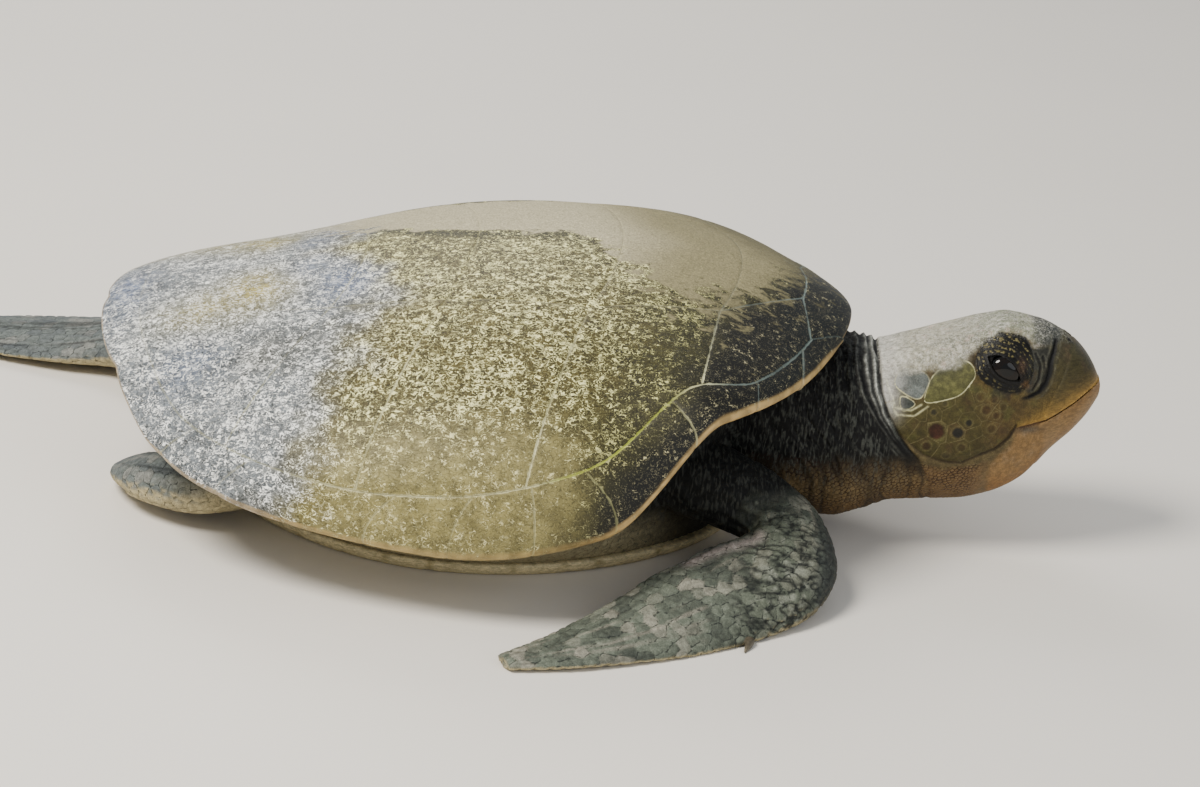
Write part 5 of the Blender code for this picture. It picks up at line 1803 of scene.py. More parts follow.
def colour_snout(tint, points, horn):
    """Olive-tan snout with dark smudges, a redder top and an orange lip."""
    x, _, z = points.T
    wave = noise(points, 0.011, 131, 3)
    fine = noise(points, 0.003, 132, 2)
    over = over_mouth(points)
    paint(tint, np.ones(len(points)), horn.beak)
    paint(tint, ramp(z + 0.004 * wave, 0.186, 0.204) * 0.8, horn.beak_top)
    paint(tint, ramp(wave + 0.4 * fine, 0.0, 0.6) * 0.5, MARK.snout_smudge)
    top = ramp(x, 0.530, 0.550) * ramp(z - 0.25 * (0.56 - x), 0.178, 0.192)
    paint(tint, top * ramp(wave, -0.2, 0.4) * 0.5, MARK.snout_red)
    long = np.interp(x, (0.50, 0.53, 0.575), (0.011, 0.011, 0.0045))
    edge = np.exp(-np.clip(over, 0, 1) / long) * (0.95 + 0.5 * wave)
    paint(tint, np.clip(edge, 0, 0.95), horn.beak_lip)
    paint(tint, bell(nostril_distance(points), 0.0034, 4), MARK.nostril)


def colour_jaw(tint, points, looks):
    """Cream lower jaw, orange along its lower edge and grey by the corner of the mouth."""
    x, _, z = points.T
    wave = noise(points, 0.010, 133, 3)
    fine = noise(points, 0.003, 134, 2)
    paint(tint, np.ones(len(points)), looks.jaw)
    paint(tint, ramp(wave + 0.4 * fine, 0.05, 0.7) * 0.45, MARK.jaw_pale)
    chin = np.interp(x, *np.array(CHIN_LINE).T)
    low = ramp(z - chin + 0.004 * wave, 0.032, 0.008)
    front = ramp(x + 0.006 * wave, 0.535, 0.560)
    paint(tint, np.maximum(low * 0.9, front * 0.45), looks.jaw_edge)
    corner = bell(x - 0.514, 0.013) * bell(z - 0.1295, 0.0042)
    paint(tint, corner * 0.75, MARK.mouth_corner)


def colour_head(tint, points, looks, scales):
    """Lays the head's markings over the tint, both sides alike. Gives back where the crown is."""
    _, tone_of, reach, number, spots = scales
    x, y, z = points.T
    wave = noise(points, 0.012, 61, 3)
    fine = noise(points, 0.0035, 62, 2)
    # pale crown down to the temples and the brow
    low = np.interp(x, *np.array(CROWN_EDGE).T)
    crown = ramp(z - low + 0.004 * wave + 0.0015 * fine, -0.005, 0.005)
    paint(tint, np.ones(len(points)), looks.cheek)
    front = ramp(x + 0.35 * (z - 0.15) + 0.006 * wave, 0.455, 0.480)
    paint(tint, front * 0.9, looks.cheek_front)
    paint(tint, ramp(wave, 0.05, 0.6) * 0.5, MARK.cheek_olive)
    paint(tint, ramp(-wave - 0.3 * fine, 0.05, 0.6) * 0.5, MARK.cheek_rust)
    # each cheek scale: a red-brown or dark middle with a soft, uneven edge
    middle = (1 - ramp(reach + 0.15 * fine, 0.70, 1.02)) * (1 - crown)
    paint(tint, middle * np.clip(spots, 0, 1) * 0.9, looks.scale_brown)
    reddest = np.clip(spots - 0.9, 0, 0.1) * 6
    paint(tint, middle * reddest * ramp(wave, -0.2, 0.5), MARK.scale_red)
    paint(tint, middle * np.clip(-spots, 0, 1) * 0.95, MARK.scale_black)
    ring = bell(reach - 1.12, 0.16) * (np.abs(spots) > 0.25) * (1 - crown)
    paint(tint, ring * 0.35, MARK.scale_ring)
    for plate, colour in enumerate((looks.temple, looks.temple_blue, MARK.low_temple), TEMPLE):
        here = number == plate
        paint(tint, here * 0.95, colour)
        paint(tint, here * ramp(wave + fine * 0.6, -0.1, 0.6) * 0.55, np.array(colour) * 0.35)
        paint(tint, here * ramp(-wave + fine * 0.8, 0.05, 0.7) * 0.5, np.array(colour) * 2.0)
    shaded = (number == TEMPLE) * ramp(z - 0.7 * (x - 0.44), 0.178, 0.190)
    paint(tint, shaded * 0.6, MARK.temple_shade)
    paint(tint, crown, looks.crown)
    green = bell(x - 0.487, 0.034) * bell(z - 0.215, 0.012)
    paint(tint, crown * green * 0.8, looks.crown_green)
    paint(tint, crown * ramp(fine + 0.6 * wave, 0.0, 0.8) * 0.6, MARK.crown_worn)
    paint(tint, crown * ramp(-fine - 0.4 * wave, 0.1, 0.8) * 0.5, MARK.crown_damp)
    # pinkish patches on the crown are painted highlights
    paint(tint, crown * ramp(noise(points, 0.005, 63, 2) + 0.4 * wave, 0.25, 0.7) * 0.45,
          MARK.crown_pink)
    paint(tint, crown * tone_of * 0.2 * (tone_of > 0), MARK.crown_grey)
    for line in PALE_EDGES:
        gap = line_distance(points[:, [0, 2]] + 0.0008 * fine[:, None], line)[0]
        paint(tint, bell(gap, 0.0008) * (np.abs(y) > 0.03) * 0.75, looks.outline)
    # whitish at the back of the head
    rear = (1 - ramp(x + 0.004 * wave, 0.380, 0.405)) * ramp(z, 0.120, 0.150)
    paint(tint, rear * 0.6, MARK.nape)
    return crown


def colour_body(tint, points, looks, head, wave, fine):
    """Trunk and neck: painted highlights on ridges and on the pale folds behind the head, painted
    shade in creases. Gives back how wrinkled the skin is.
    """
    x, y, z = points.T
    back = behind_collar(points)
    wrinkle = ramp(x, 0.09, 0.14) * ramp(z, 0.03, 0.05) * (1 - ramp(x, 0.30, 0.33)) * 0.55
    # trunk: pale underneath and at the groin, dark under the rim
    under = ramp(z + 0.012 * wave, 0.075, 0.03) * ramp(x, 0.24, 0.12)
    paint(tint, under * 0.85, looks.under)
    # neck: near-black sides, brown below, granular throat
    neck = (x > 0.24) & (np.abs(y) < 0.11) & ~head
    inner = np.where(neck, 1.0, 0.0)
    paint(tint, inner, looks.neck)
    low = ramp(z + 0.010 * wave - 0.12 * (x - 0.36), 0.104, 0.062)
    paint(tint, inner * low, looks.neck_low)
    throat = inner * ramp(z + 0.008 * wave - 0.30 * (x - 0.40), 0.078, 0.050)
    paint(tint, throat * 0.85, looks.throat)
    wrinkle = np.where(neck, ramp(back, 0.008, 0.024) * (0.85 - 0.6 * low), wrinkle * ~head)
    crease, wide = neck_creases(points)
    wide = np.clip(wide, 0, 1)
    # painted highlights on the ridges between the creases, and painted shade in the wide creases
    ridge = ramp(crease, 0.35, -0.35) * (1 - wide) * ramp(fine + wave, -0.3, 0.4)
    paint(tint, ridge * inner * (1 - low) * 0.85, MARK.neck_ridge)
    paint(tint, ridge * inner * low * 0.5, MARK.low_ridge)
    paint(tint, wide ** 2 * inner * 0.7, MARK.black)
    # pale folds just behind the head, painted as highlights on the raised folds high on the neck
    at = neck_folds(points)
    streaky = 0.65 + 0.6 * fine
    folds = np.zeros(len(points))
    for (place_at, half, seed), share in zip(NECK_FOLDS, (0.95, 0.7, 0.35)):
        folds += share * fold_strength(points, seed) * streaky * bell(at - place_at, half * 0.85)
    paint(tint, np.clip(inner * folds, 0, 0.9), looks.fold)
    return wrinkle


def colour_mouth(tint, points, looks, horn, tone_of, wave, fine):
    """Snout, slate patch, lower jaw and throat. Gives back where the snout, the lower side and
    the smooth jaw are, and how far each point lies in front of the smooth jaw's back edge."""
    x, y, z = points.T
    side = points[:, [0, 2]]
    over = over_mouth(points)
    snout = np.maximum(ramp(x + 0.004 * wave, 0.506, 0.528),
                       ramp(before_line(side, BEAK_BACK), -0.016, -0.002))
    snout = snout * (z > 0.12)
    horny = tint.copy()
    colour_snout(horny, points, horn)
    mix = np.maximum(snout, ramp(x, 0.494, 0.512) * np.exp(-np.clip(over, 0, 1) / 0.012))
    tint += (horny - tint) * (mix * (over > -0.002))[:, None]
    slate = ramp(signed(side, rounded(SLATE_PATCH)) + 0.003 * wave, 0.003, -0.003)
    paint(tint, slate * 0.75 * (x < 0.545), MARK.slate)
    # under the mouth: cream jaw with an orange edge, then the granular throat
    below = np.clip(-over, -1, 1)
    ahead = before_line(side, JAW_BACK) + 0.002 * wave
    lower = np.where(x > 0.5015, below + 0.0002, under_cheek(side))
    under = ramp(lower + 0.0006 * fine, -0.0012, 0.0014)
    paint(tint, under, MARK.under_cheek)
    paint(tint, under * ramp(wave + fine, 0.0, 0.7) * 0.4, MARK.under_cheek_dark)
    jaw = ramp(below, 0.000, 0.0015) * ramp(ahead, -0.004, 0.004)
    horny = tint.copy()
    colour_jaw(horny, points, looks)
    tint += (horny - tint) * jaw[:, None]
    throat = ramp(under_throat_top(points) + 0.003 * wave, -0.004, 0.005)
    throat = throat * (1 - ramp(ahead + 0.004 * wave, -0.012, 0.006))
    paint(tint, throat, looks.throat)
    paint(tint, throat * (0.5 + 0.5 * tone_of) * 0.5, MARK.granule)
    red_edge = bell(below - 0.0006, 0.0013) * ramp(x, 0.498, 0.508)
    paint(tint, red_edge * 0.9, MARK.gum)
    # painted shade in the crease under the cheek
    crease, share = line_distance(side + 0.0012 * noise(points, 0.011, 43, 2)[:, None],
                                  CHEEK_CREASE)
    paint(tint, bell(crease, 0.0014) * (np.abs(y) > 0.02) * (0.45 + 0.45 * share),
          MARK.cheek_crease)
    return snout, under, jaw, ahead


def colour_eye(tint, points, looks, tone_of, wave, fine):
    """Black lids with ochre granules in arcs, and painted shade in the groove and in its folds.
    Gives back the distance to the orbit and where the skin between it and the groove is."""
    x, y, z = points.T
    side = points[:, [0, 2]]
    on_side = np.abs(y) > 0.018
    orbit = np.where(on_side, signed(side, rounded(ORBIT)), 0.05)
    smudge = np.exp(-np.clip(orbit, 0, 1) / 0.007) * ramp(wave + 0.5 * fine, -0.15, 0.4)
    paint(tint, smudge * 0.8 * (z < 0.207), MARK.orbit_smudge)
    paint(tint, ramp(orbit + 0.0018 * fine + 0.0012 * wave, 0.0012, -0.0012), looks.lid)
    groove, share = line_distance(side, TEAR_GROOVE)
    width = np.interp(share, (0, 0.2, 0.5, 0.75, 1), (0.0010, 0.0030, 0.0034, 0.0022, 0.0012))
    dark = bell(groove, width * (1 + 0.35 * fine), 4) * on_side
    dark = dark * ramp(share + 0.05 * fine, 1.0, 0.86)
    between_them = (ramp(x, 0.503, 0.511) * (1 - ramp(x, 0.523, 0.531))
                    * ramp(z, 0.158, 0.167) * (1 - ramp(z, 0.200, 0.210)) * on_side)
    paint(tint, between_them * (0.60 + 0.5 * ramp(wave, -0.2, 0.3)), MARK.tear_skin)
    # each fold: a pale stroke beside it and painted shade in its crease
    for line in TEAR_FOLDS:
        gap = line_distance(side, line)[0]
        paint(tint, bell(gap - 0.0020, 0.0007) * on_side * 0.3, MARK.tear_fold)
        paint(tint, bell(gap, 0.0010) * on_side * 0.9, MARK.black)
    pale_rim = bell(groove - 0.0046, 0.0008) * on_side * ramp(x, 0.512, 0.52)
    paint(tint, pale_rim * (0.15 + 0.4 * ramp(fine, -0.2, 0.5)), MARK.groove_rim)
    # painted shade in the groove in front of the eye
    paint(tint, dark, MARK.black)
    almond = np.where(on_side, signed(side, eye_ring()), 0.05)
    arcs = ramp(np.sin(almond * 2 * math.pi / 0.0040 + 2.5 * wave), -0.35, 0.35)
    ring = ramp(almond, 0.0020, 0.0034) * (orbit < -0.0008)
    sparse = 0.35 + 0.65 * ramp(z - 0.6 * (x - 0.484), 0.176, 0.190)
    grains = ramp(tone_of + 0.6 * wave + 0.3 * fine, 0.12, 0.50) * ring * arcs * sparse
    paint(tint, grains * 0.8, looks.lid_fleck)
    paint(tint, grains * ramp(fine, 0.3, 0.7) * 0.4, MARK.bright_granule)
    corner = bell(x - 0.5000, 0.0040) * bell(z - 0.1895, 0.0065) * on_side
    paint(tint, corner * (almond > 0.001) * 0.75, MARK.eye_corner)
    corner = bell(x - 0.5060, 0.0045) * bell(z - 0.1735, 0.0036) * on_side
    paint(tint, corner * ramp(fine, -0.4, 0.3) * 0.6, MARK.eye_rust)
    paint(tint, ramp(almond, 0.0019, 0.0009), MARK.lid_edge)
    return orbit, between_them


def head_lines(points, looks, scales, crown, under, wave):
    """Lines between the plates: bright round the temple, dull between the cheek's scales. Gives
    back their colours, how strongly they show and their width."""
    edge, _, _, number, spots = scales
    x, y, z = points.T
    near_temple = np.zeros(len(points))
    for ring in TEMPLE_PLATES:
        gap = np.abs(signed(points[:, [0, 2]], rounded(ring)))
        own_line = (np.abs(y) > 0.018) * (np.abs(gap - edge) < 0.0005)
        near_temple = np.maximum(near_temple, ramp(gap, 0.0030, 0.0020) * own_line)
    colours = filled(MARK.cheek_line, len(points))
    paint(colours, near_temple, looks.outline)
    paint(colours, crown, MARK.crown_line)
    strength = 0.42 + 0.35 * ramp(np.abs(spots), 0.2, 0.8)
    strength = strength * (1 - ramp(x, 0.478, 0.505)) * (1 - under)
    strength = np.maximum(strength, 0.20 * (1 - ramp(x, 0.50, 0.52)) * (1 - under))
    strength = np.where(near_temple > 0.3, 0.80 + 0.15 * wave, strength)
    soft_top = (number == REAR_TEMPLE) | ((x < 0.42) & (z > 0.165))
    strength = strength * np.where(soft_top, 1 - 0.75 * ramp(z, 0.163, 0.174), 1)
    return colours, strength * (1 - 0.75 * crown), np.where(near_temple > 0.3, 0.00050, 0.00046)


def colour_limbs(tint, points, face_up, looks, tone_of, limbs, wave, fine):
    """Scales, streaks and cracks of the flippers. Gives back each limb's share of every point."""
    x, y, _ = points.T
    shares = []
    for (row, across, near), hind in limbs:
        root = 2.2 if not hind else 1.6
        on = (near < LIMB_REACH) & (row > root - 0.4)
        share = np.where(on, ramp(row, root, root + 1.0), 0)
        top = share * face_up
        paint(tint, top, looks.flipper)
        paint(tint, top * ramp(tone_of, 0.2, 0.9) * 0.35, looks.flipper_pale)
        paint(tint, top * ramp(-tone_of, 0.1, 0.9) * 0.45, looks.flipper_dark)
        paint(tint, share * (1 - face_up), looks.under)
        streak = limb_streaks(row, across)
        paint(tint, top * ramp(streak, 0.15, 0.6) * (0.6 if hind else 0.35), looks.flipper_dark)
        paint(tint, top * ramp(-streak, 0.25, 0.7) * 0.3, looks.flipper_pale)
        paint(tint, share * ramp(wave + 0.6 * fine, 0.0, 0.7) * 0.4, looks.flipper_dark)
        if hind:
            paint(tint, top * 0.45, MARK.hind_blue)
            lengthwise = limb_streaks(row, across, (0.09, 0.0034, 1.0), 92)
            paint(tint, top * ramp(lengthwise, 0.1, 0.5) * 0.7, looks.flipper_dark)
        else:
            bent = elbow_at(points) * on
            cracks = elbow_cracks(points)
            paint(tint, bent * face_up * 0.55, MARK.elbow)
            paint(tint, bent * face_up * ramp(fine + 0.5 * wave, 0.1, 0.6) * 0.6, MARK.elbow_pale)
            paint(tint, bent * np.clip(cracks, 0, 1) ** 2 * 0.95, looks.flipper_dark)
            paint(tint, bent * np.clip(cracks - 0.4, 0, 1) * 1.2, MARK.elbow_crack)
            paint(tint, on * ramp(x + 0.004 * wave, 0.318, 0.338) * 0.8, MARK.arm_front)
            pale = line_distance(np.column_stack([x, np.abs(y)]), WORN_LINE)[0]
            paint(tint, bell(pale, 0.006) * on * face_up * 0.8, MARK.worn_blade)
        shares.append(share)
    return shares


def colour_skin(mesh, points, looks, horn, scales, zones, limbs):
    """Stores the tint, the lines and the roughness of every point of the skin."""
    edge, tone_of = scales[:2]
    z = points[:, 2]
    count = len(points)
    back = behind_collar(points)
    wave = noise(points, 0.03, 71, 3)
    fine = noise(points, 0.006, 72, 2)
    # all skin starts near-black: dark skin with painted shade under the shell's rim
    tint = filled(looks.shoulder, count)
    lines = filled(looks.flipper_dark, count)
    line_share = np.full(count, 0.55)
    line_width = np.full(count, 0.0005)
    rough = np.full(count, 0.68)
    crackle = np.zeros(count)
    wrinkle = colour_body(tint, points, looks, back < 0, wave, fine)
    # head
    head = np.nonzero(back < 0)[0]
    spots = points[head]
    own = [values[head] for values in scales]
    shade = tint[head]
    crown = colour_head(shade, spots, looks, own)
    head_wave = noise(spots, 0.01, 73, 3)
    head_fine = noise(spots, 0.003, 74, 2)
    snout, under, jaw, ahead = colour_mouth(shade, spots, looks, horn, own[1], head_wave,
                                            head_fine)
    orbit, between_them = colour_eye(shade, spots, looks, own[1], head_wave, head_fine)
    paint(shade, bell(nostril_distance(spots), 0.0034, 4), MARK.nostril)
    # painted shade in the deep crease where the head meets the neck
    collar = bell(back[head] + 0.0002, 0.0011) * ramp(spots[:, 2], 0.06, 0.09)
    paint(shade, collar * 0.9, MARK.collar)
    tint[head] = shade
    lines[head], strength, line_width[head] = head_lines(spots, looks, own, crown, under,
                                                         head_wave)
    line_share[head] = strength * (1 - jaw) * (1 - snout) * (orbit >= 0.001)
    crackle[head] = crown * (0.80 + 0.5 * head_wave) + 0.12 * (own[3] == REAR_TEMPLE)
    # lines of the throat, the neck and the lids
    granular = zones["throat"][0] | zones["neck"][0]
    lines[granular] = looks.throat_dark
    fading = np.ones(count)
    fading[head] = 1 - ramp(ahead + 0.003 * head_wave, -0.020, -0.002)
    line_share[granular] = 0.85 * fading[granular]
    line_width[granular] = 0.00050
    lids = zones["lids"][0]
    lines[lids] = MARK.lid_line
    line_share[lids] = 0.9
    line_width[lids] = 0.00022
    up_neck = zones["neck"][0] & (z + 0.006 * wave > 0.092)
    line_share[up_neck] = 0.3
    lines[up_neck] = MARK.neck_line
    # limbs
    face_up = ramp(normals_of(mesh)[:, 2], -0.25, 0.15)
    for share in colour_limbs(tint, points, face_up, looks, tone_of, limbs, wave, fine):
        wrinkle = wrinkle * (1 - share)
        line_share = np.where(share > 0.3, 0.8, line_share)
        line_width = np.where(share > 0.3, 0.0006, line_width)
        lines[share > 0.3] = looks.flipper_dark
    rough[head] = 0.56
    rough[head] += 0.16 * between_them
    rough[head[orbit < 0]] = 0.42
    for name, values in (("tint", np.clip(tint, 0, 1)), ("edge", edge), ("line_colour", lines),
                         ("line_share", line_share), ("line_width", line_width),
                         ("rough", rough), ("crackle", np.clip(crackle, 0, 1)),
                         ("wrinkle", np.clip(wrinkle, 0, 1))):
        store(mesh, name, values)


def open_loops(faces):
    """Loops of border edges, each as vertices in the order that faces outwards."""
    nexts = {}
    seen = set()
    for face in faces:
        for a, b in zip(face, face[1:] + face[:1]):
            seen.add((a, b))
    for a, b in seen:
        if (b, a) not in seen:
            nexts.setdefault(b, []).append(a)
    loops = []
    while nexts:
        start = next(iter(nexts))
        loop = [start]
        at = nexts[start].pop()
        if not nexts[start]:
            del nexts[start]
        while at != start:
            loop.append(at)
            following = nexts[at].pop()
            if not nexts[at]:
                del nexts[at]
            at = following
        loops.append(loop)
    return loops


def parted(mesh, labels, names, material):
    """Cuts the skin into pieces by face label; cut edges are closed inside the body."""
    points = coordinates(mesh)
    normals = normals_of(mesh)
    layers = {}
    for layer in mesh.attributes:
        if layer.name in ("tint", "line_colour"):
            layers[layer.name] = numbers(layer.data, "color", 4, np.float32)[:, :3]
        elif layer.name in ("edge", "line_share", "line_width", "rough", "crackle",
                            "wrinkle"):
            layers[layer.name] = numbers(layer.data, "value", 1, np.float32).ravel()
    faces = [tuple(face.vertices) for face in mesh.polygons]
    pieces = []
    for label, name in enumerate(names):
        mine = [faces[i] for i in np.nonzero(labels == label)[0]]
        used = np.unique(np.concatenate([np.array(face) for face in mine]))
        index = np.full(len(points), -1)
        index[used] = np.arange(len(used))
        index = index.tolist()
        mine = [tuple(index[v] for v in face) for face in mine]
        spots = points[used]
        own = normals[used]
        extra, extra_normals = [], []
        for loop in open_loops(mine):
            middle = spots[loop].mean(0)
            if middle[2] < 0.02:
                middle[2] = 0.02
            new = len(spots) + len(extra)
            extra.append(middle)
            extra_normals.append((0, 0, 1))
            mine += [(a, b, new) for a, b in zip(loop, loop[1:] + loop[:1])]
        if extra:
            spots = np.vstack([spots, extra])
            own = np.vstack([own, extra_normals])
        made = new_object(name, spots, mine)
        for key, values in layers.items():
            pad = np.repeat(values[used][:1], len(extra), axis=0)
            store(made.data, key, np.concatenate([values[used], pad]))
        made.data.normals_split_custom_set_from_vertices(own.tolist())
        made.data.materials.append(material)
        pieces.append(made)
    return pieces


def skin_relief(points, scales, relief, head, throat, limbs):
    """How far out each point stands: lines between the scales, wear, streaks and cracks."""
    edge, number = scales[0], scales[3]
    z = points[:, 2]
    deep = np.full(len(points), 0.00045)
    wide = np.full(len(points), 0.0010)
    for mask, how_deep, how_wide in relief:
        deep[mask] = how_deep
        wide[mask] = how_wide
    deep[number >= TEMPLE] = 0.00030
    before_jaw = before_line(points[:, [0, 2]], JAW_BACK)
    deep = deep * np.where(throat, 1 - ramp(before_jaw, -0.018, 0.0), 1)
    move = -deep * bell(edge, wide)
    rough = noise(points, 0.007, 81, 3)
    move -= np.where(head, 0.00015, 0.0005) * (rough * 0.5 + 0.5)
    for (row, across, near), hind in limbs:
        on = (near < LIMB_REACH) * ramp(row, 1.6, 2.6)
        streak = limb_streaks(row, across)
        move -= on * 0.0007 * (streak * 0.5 + 0.5) * (z > 0.004)
        if not hind:
            cracks = np.clip(elbow_cracks(points), 0, 1) ** 2
            move -= on * 0.0016 * elbow_at(points) * cracks * ramp(z, 0.004, 0.010)
    return move * ramp(z, 0.0, 0.0015)


def make_skin(looks, horn):
    """Shapes, colours and parts the skin."""
    voxel = looks.voxel * 1.0
    mesh = skin_base(voxel)
    points = coordinates(mesh)
    for shaped in (shape_head, shape_neck, shape_shoulder):
        points = shaped(points, normals_of(mesh))
        put_back(mesh, points)
    points = relaxed(points, edges_of(mesh), 1, 0.35)
    put_back(mesh, points)
    normals = normals_of(mesh)
    x, aside = points[:, 0], np.abs(points[:, 1])
    back = behind_collar(points)
    side = points[:, [0, 2]]
    orbit = np.where(aside > 0.02, signed(side, rounded(ORBIT)), 0.05)
    throat = (under_throat_top(points) > -0.002) & (back < 0)
    throat &= before_line(side, JAW_BACK) < 0.001
    lids = (orbit < 0.0) & (back < 0)
    head = (back < 0) & ~throat & ~lids
    neck = (back >= 0) & (x > 0.24) & (aside < 0.11)
    limbs = [(limb_place(points, table, way), hind)
             for table, way, hind in ((FRONT_LIMB, 1, False), (FRONT_LIMB, -1, False),
                                      (HIND_STRETCHED, 1, True), (HIND_TUCKED, -1, True))]
    on_limb = np.zeros(len(points), bool)
    for (row, _, near), hind in limbs:
        on_limb |= (near < LIMB_REACH) & (row > (2.6 if not hind else 2.0))
    zones = {"lids": (lids, 0.0017), "throat": (throat, looks.throat_scale),
             "neck": (neck & ~on_limb, looks.neck_scale),
             "limbs": (on_limb & ~head, looks.limb_scale),
             "trunk": (~(lids | throat | head | neck | on_limb), 0.0062)}
    scales = skin_pattern(points, head, zones)
    relief = ((throat, 0.00050, 0.0009), (neck, 0.00040, 0.0009), (lids, 0.00030, 0.0005),
              (on_limb, 0.00090, 0.0014), (zones["trunk"][0], 0.00060, 0.0012),
              (head, 0.00022, 0.0009))
    move = skin_relief(points, scales, relief, head, throat, limbs)
    points = points + normals * move[:, None]
    points[:, 2] = np.maximum(points[:, 2], 0.0)
    put_back(mesh, points)
    colour_skin(mesh, points, looks, horn, scales, zones, limbs)
    middles = face_middles(mesh)
    labels = np.where(behind_collar(middles) < 0, 0,
                      np.where((middles[:, 0] > 0.27) & (np.abs(middles[:, 1]) < 0.115)
                               & (middles[:, 2] > 0.006), 1,
                               np.where(middles[:, 0] > 0.0, 2, 3)))
    names = ("skin_head", "skin_neck", "skin_front", "skin_rear")
    material = skin_material()
    pieces = parted(mesh, labels, names, material)
    bpy.data.meshes.remove(mesh)
    nodes = (("head", "lower_jaw"), ("neck",),
             ("trunk", "arm_right", "arm_left", "flipper_right", "flipper_left"),
             ("thigh_right", "thigh_left", "hind_flipper_right", "hind_flipper_left", "tail"))
    for piece, some in zip(pieces, nodes):
        dress(piece, material, "olive_grey_skin", *some)
    return pieces


# Beak, eyes and claws

def beak_mesh(name, gap, rise, looks, tint_of, slot):
    """Horn that rises out of the skin; gap gives how far a point is inside its two borders."""
    loops = spine_loops(HEAD_LINES, 420, 260)
    loops = loops[loops[:, 0, 0] > 0.49]
    tip = loops[-1]
    middle = tip.mean(0)
    caps = [middle + (tip - middle) * s + (0.0016 * (1 - s ** 2), 0, 0)
            for s in (0.9, 0.75, 0.55, 0.3, 0.1)]
    loops = np.vstack([loops, caps])
    rows, columns = loops.shape[:2]
    points = loops.reshape(-1, 3)
    closed = np.concatenate([loops, loops[:, :1]], axis=1)
    normal = grid_normals(closed)[:, :-1].reshape(-1, 3)
    normal *= np.sign(np.sum(normal * (points - (0.50, 0, 0.15)), axis=1))[:, None]
    ahead, over = gap(points)
    inner = np.minimum(ahead, over)
    lift = -0.0030 + (0.0030 + looks.proud) * ramp(ahead, -0.0015, 0.0060)
    keep = (ahead > -0.0016) & (over > -0.0012)
    # the cutting edge lies on one clean line
    points = points + (0, 0, 1) * (np.clip(-over, 0, 0.0012) * rise)[:, None]
    points = points + normal * lift[:, None]
    faces = []
    for i in range(rows - 1):
        for j in range(columns):
            face = (i * columns + j, (i + 1) * columns + j,
                    (i + 1) * columns + (j + 1) % columns, i * columns + (j + 1) % columns)
            if all(keep[v] for v in face):
                faces.append(face)
    if keep[(rows - 1) * columns:].all():
        faces.append(tuple(range((rows - 1) * columns, rows * columns)))
    used = np.unique(np.concatenate([np.array(face) for face in faces]))
    index = {int(v): i for i, v in enumerate(used)}
    faces = [tuple(index[v] for v in face) for face in faces]
    made = new_object(name, points[used], faces)
    face_outwards(made.data)
    facing = normals_of(made.data)
    if np.sum(facing * (points[used] - (0.50, 0, 0.15))) < 0:
        made.data.flip_normals()
    store(made.data, "tint", tint_of(points[used], inner[used]))
    thick = made.modifiers.new("horn_wall", "SOLIDIFY")
    thick.thickness = 0.0012
    thick.offset = -1
    graph = bpy.context.evaluated_depsgraph_get()
    solid = bpy.data.meshes.new_from_object(made.evaluated_get(graph))
    made.modifiers.clear()
    made.data = solid
    solid.shade_smooth()
    return dress(made, horn_material(name + "_horn", 0.42), slot, name)


def make_beak(looks, skin):
    """The horn of the upper and the lower jaw."""
    def upper_gap(points):
        """How far a point is inside the upper horn's back and its cutting edge."""
        return before_line(points[:, [0, 2]], BEAK_BACK) * 0.85, over_mouth(points) + 0.0003

    def lower_gap(points):
        """The same for the lower horn."""
        return before_line(points[:, [0, 2]], CHIN_HORN) * 0.9, -over_mouth(points) - 0.0022

    def upper_tint(points, _):
        """Colours of the upper horn."""
        tint = np.zeros((len(points), 3))
        colour_snout(tint, points, looks)
        return tint

    def lower_tint(points, inner):
        """Colours of the lower horn, yellower away from its border."""
        tint = np.zeros((len(points), 3))
        colour_jaw(tint, points, skin)
        paint(tint, ramp(inner, 0.004, 0.012) * 0.4, looks.beak_low)
        return tint

    beak_mesh("beak_upper", upper_gap, 1, looks, upper_tint, "yellow_horn")
    beak_mesh("beak_lower", lower_gap, -1, looks, lower_tint, "yellow_horn")


def make_eyes(looks):
    """The eyeballs, fuller towards the lids than a ball."""
    material = eye_material(looks)
    for side, word in SIDES:
        centre = np.array(EYE_CENTRE) * (1, side, 1)
        gaze = unit(np.array([0.10, side * 0.95, 0.28]))
        across = unit(np.cross(gaze, (0, 0, 1)))
        up = np.cross(across, gaze)
        points = [centre + gaze * EYE_RADIUS]
        for ring in range(1, EYE_RINGS):
            polar_angle = math.pi * ring / EYE_RINGS
            for k in range(EYE_SIDES):
                turn = 2 * math.pi * k / EYE_SIDES
                way = (gaze * math.cos(polar_angle) + (across * math.cos(turn)
                       + up * math.sin(turn)) * math.sin(polar_angle))
                points.append(centre + way * EYE_RADIUS)
        points.append(centre - gaze * EYE_RADIUS)
        # fuller towards the lids than a ball
        away = (np.array(points) - centre) / EYE_RADIUS
        flat = np.abs(away[:, 1]) ** 3 + np.hypot(away[:, 0], away[:, 2]) ** 3
        points = centre + away * EYE_RADIUS / np.cbrt(flat)[:, None]
        turns = [(k, (k + 1) % EYE_SIDES) for k in range(EYE_SIDES)]
        faces = [(0, 1 + k, 1 + after) for k, after in turns]
        for ring in range(EYE_RINGS - 2):
            a = 1 + ring * EYE_SIDES
            faces += [(a + k, a + EYE_SIDES + k, a + EYE_SIDES + after, a + after)
                      for k, after in turns]
        a = 1 + (EYE_RINGS - 2) * EYE_SIDES
        faces += [(a + k, len(points) - 1, a + after) for k, after in turns]
        made = new_object(f"eyeball_{word}", points, faces)
        face_outwards(made.data)
        away = np.array(points) - centre
        angle = np.arccos(np.clip(unit(away) @ gaze, -1, 1))
        store(made.data, "gaze", angle * EYE_RADIUS)
        dress(made, material, "dark_eye", f"eye_{word}")


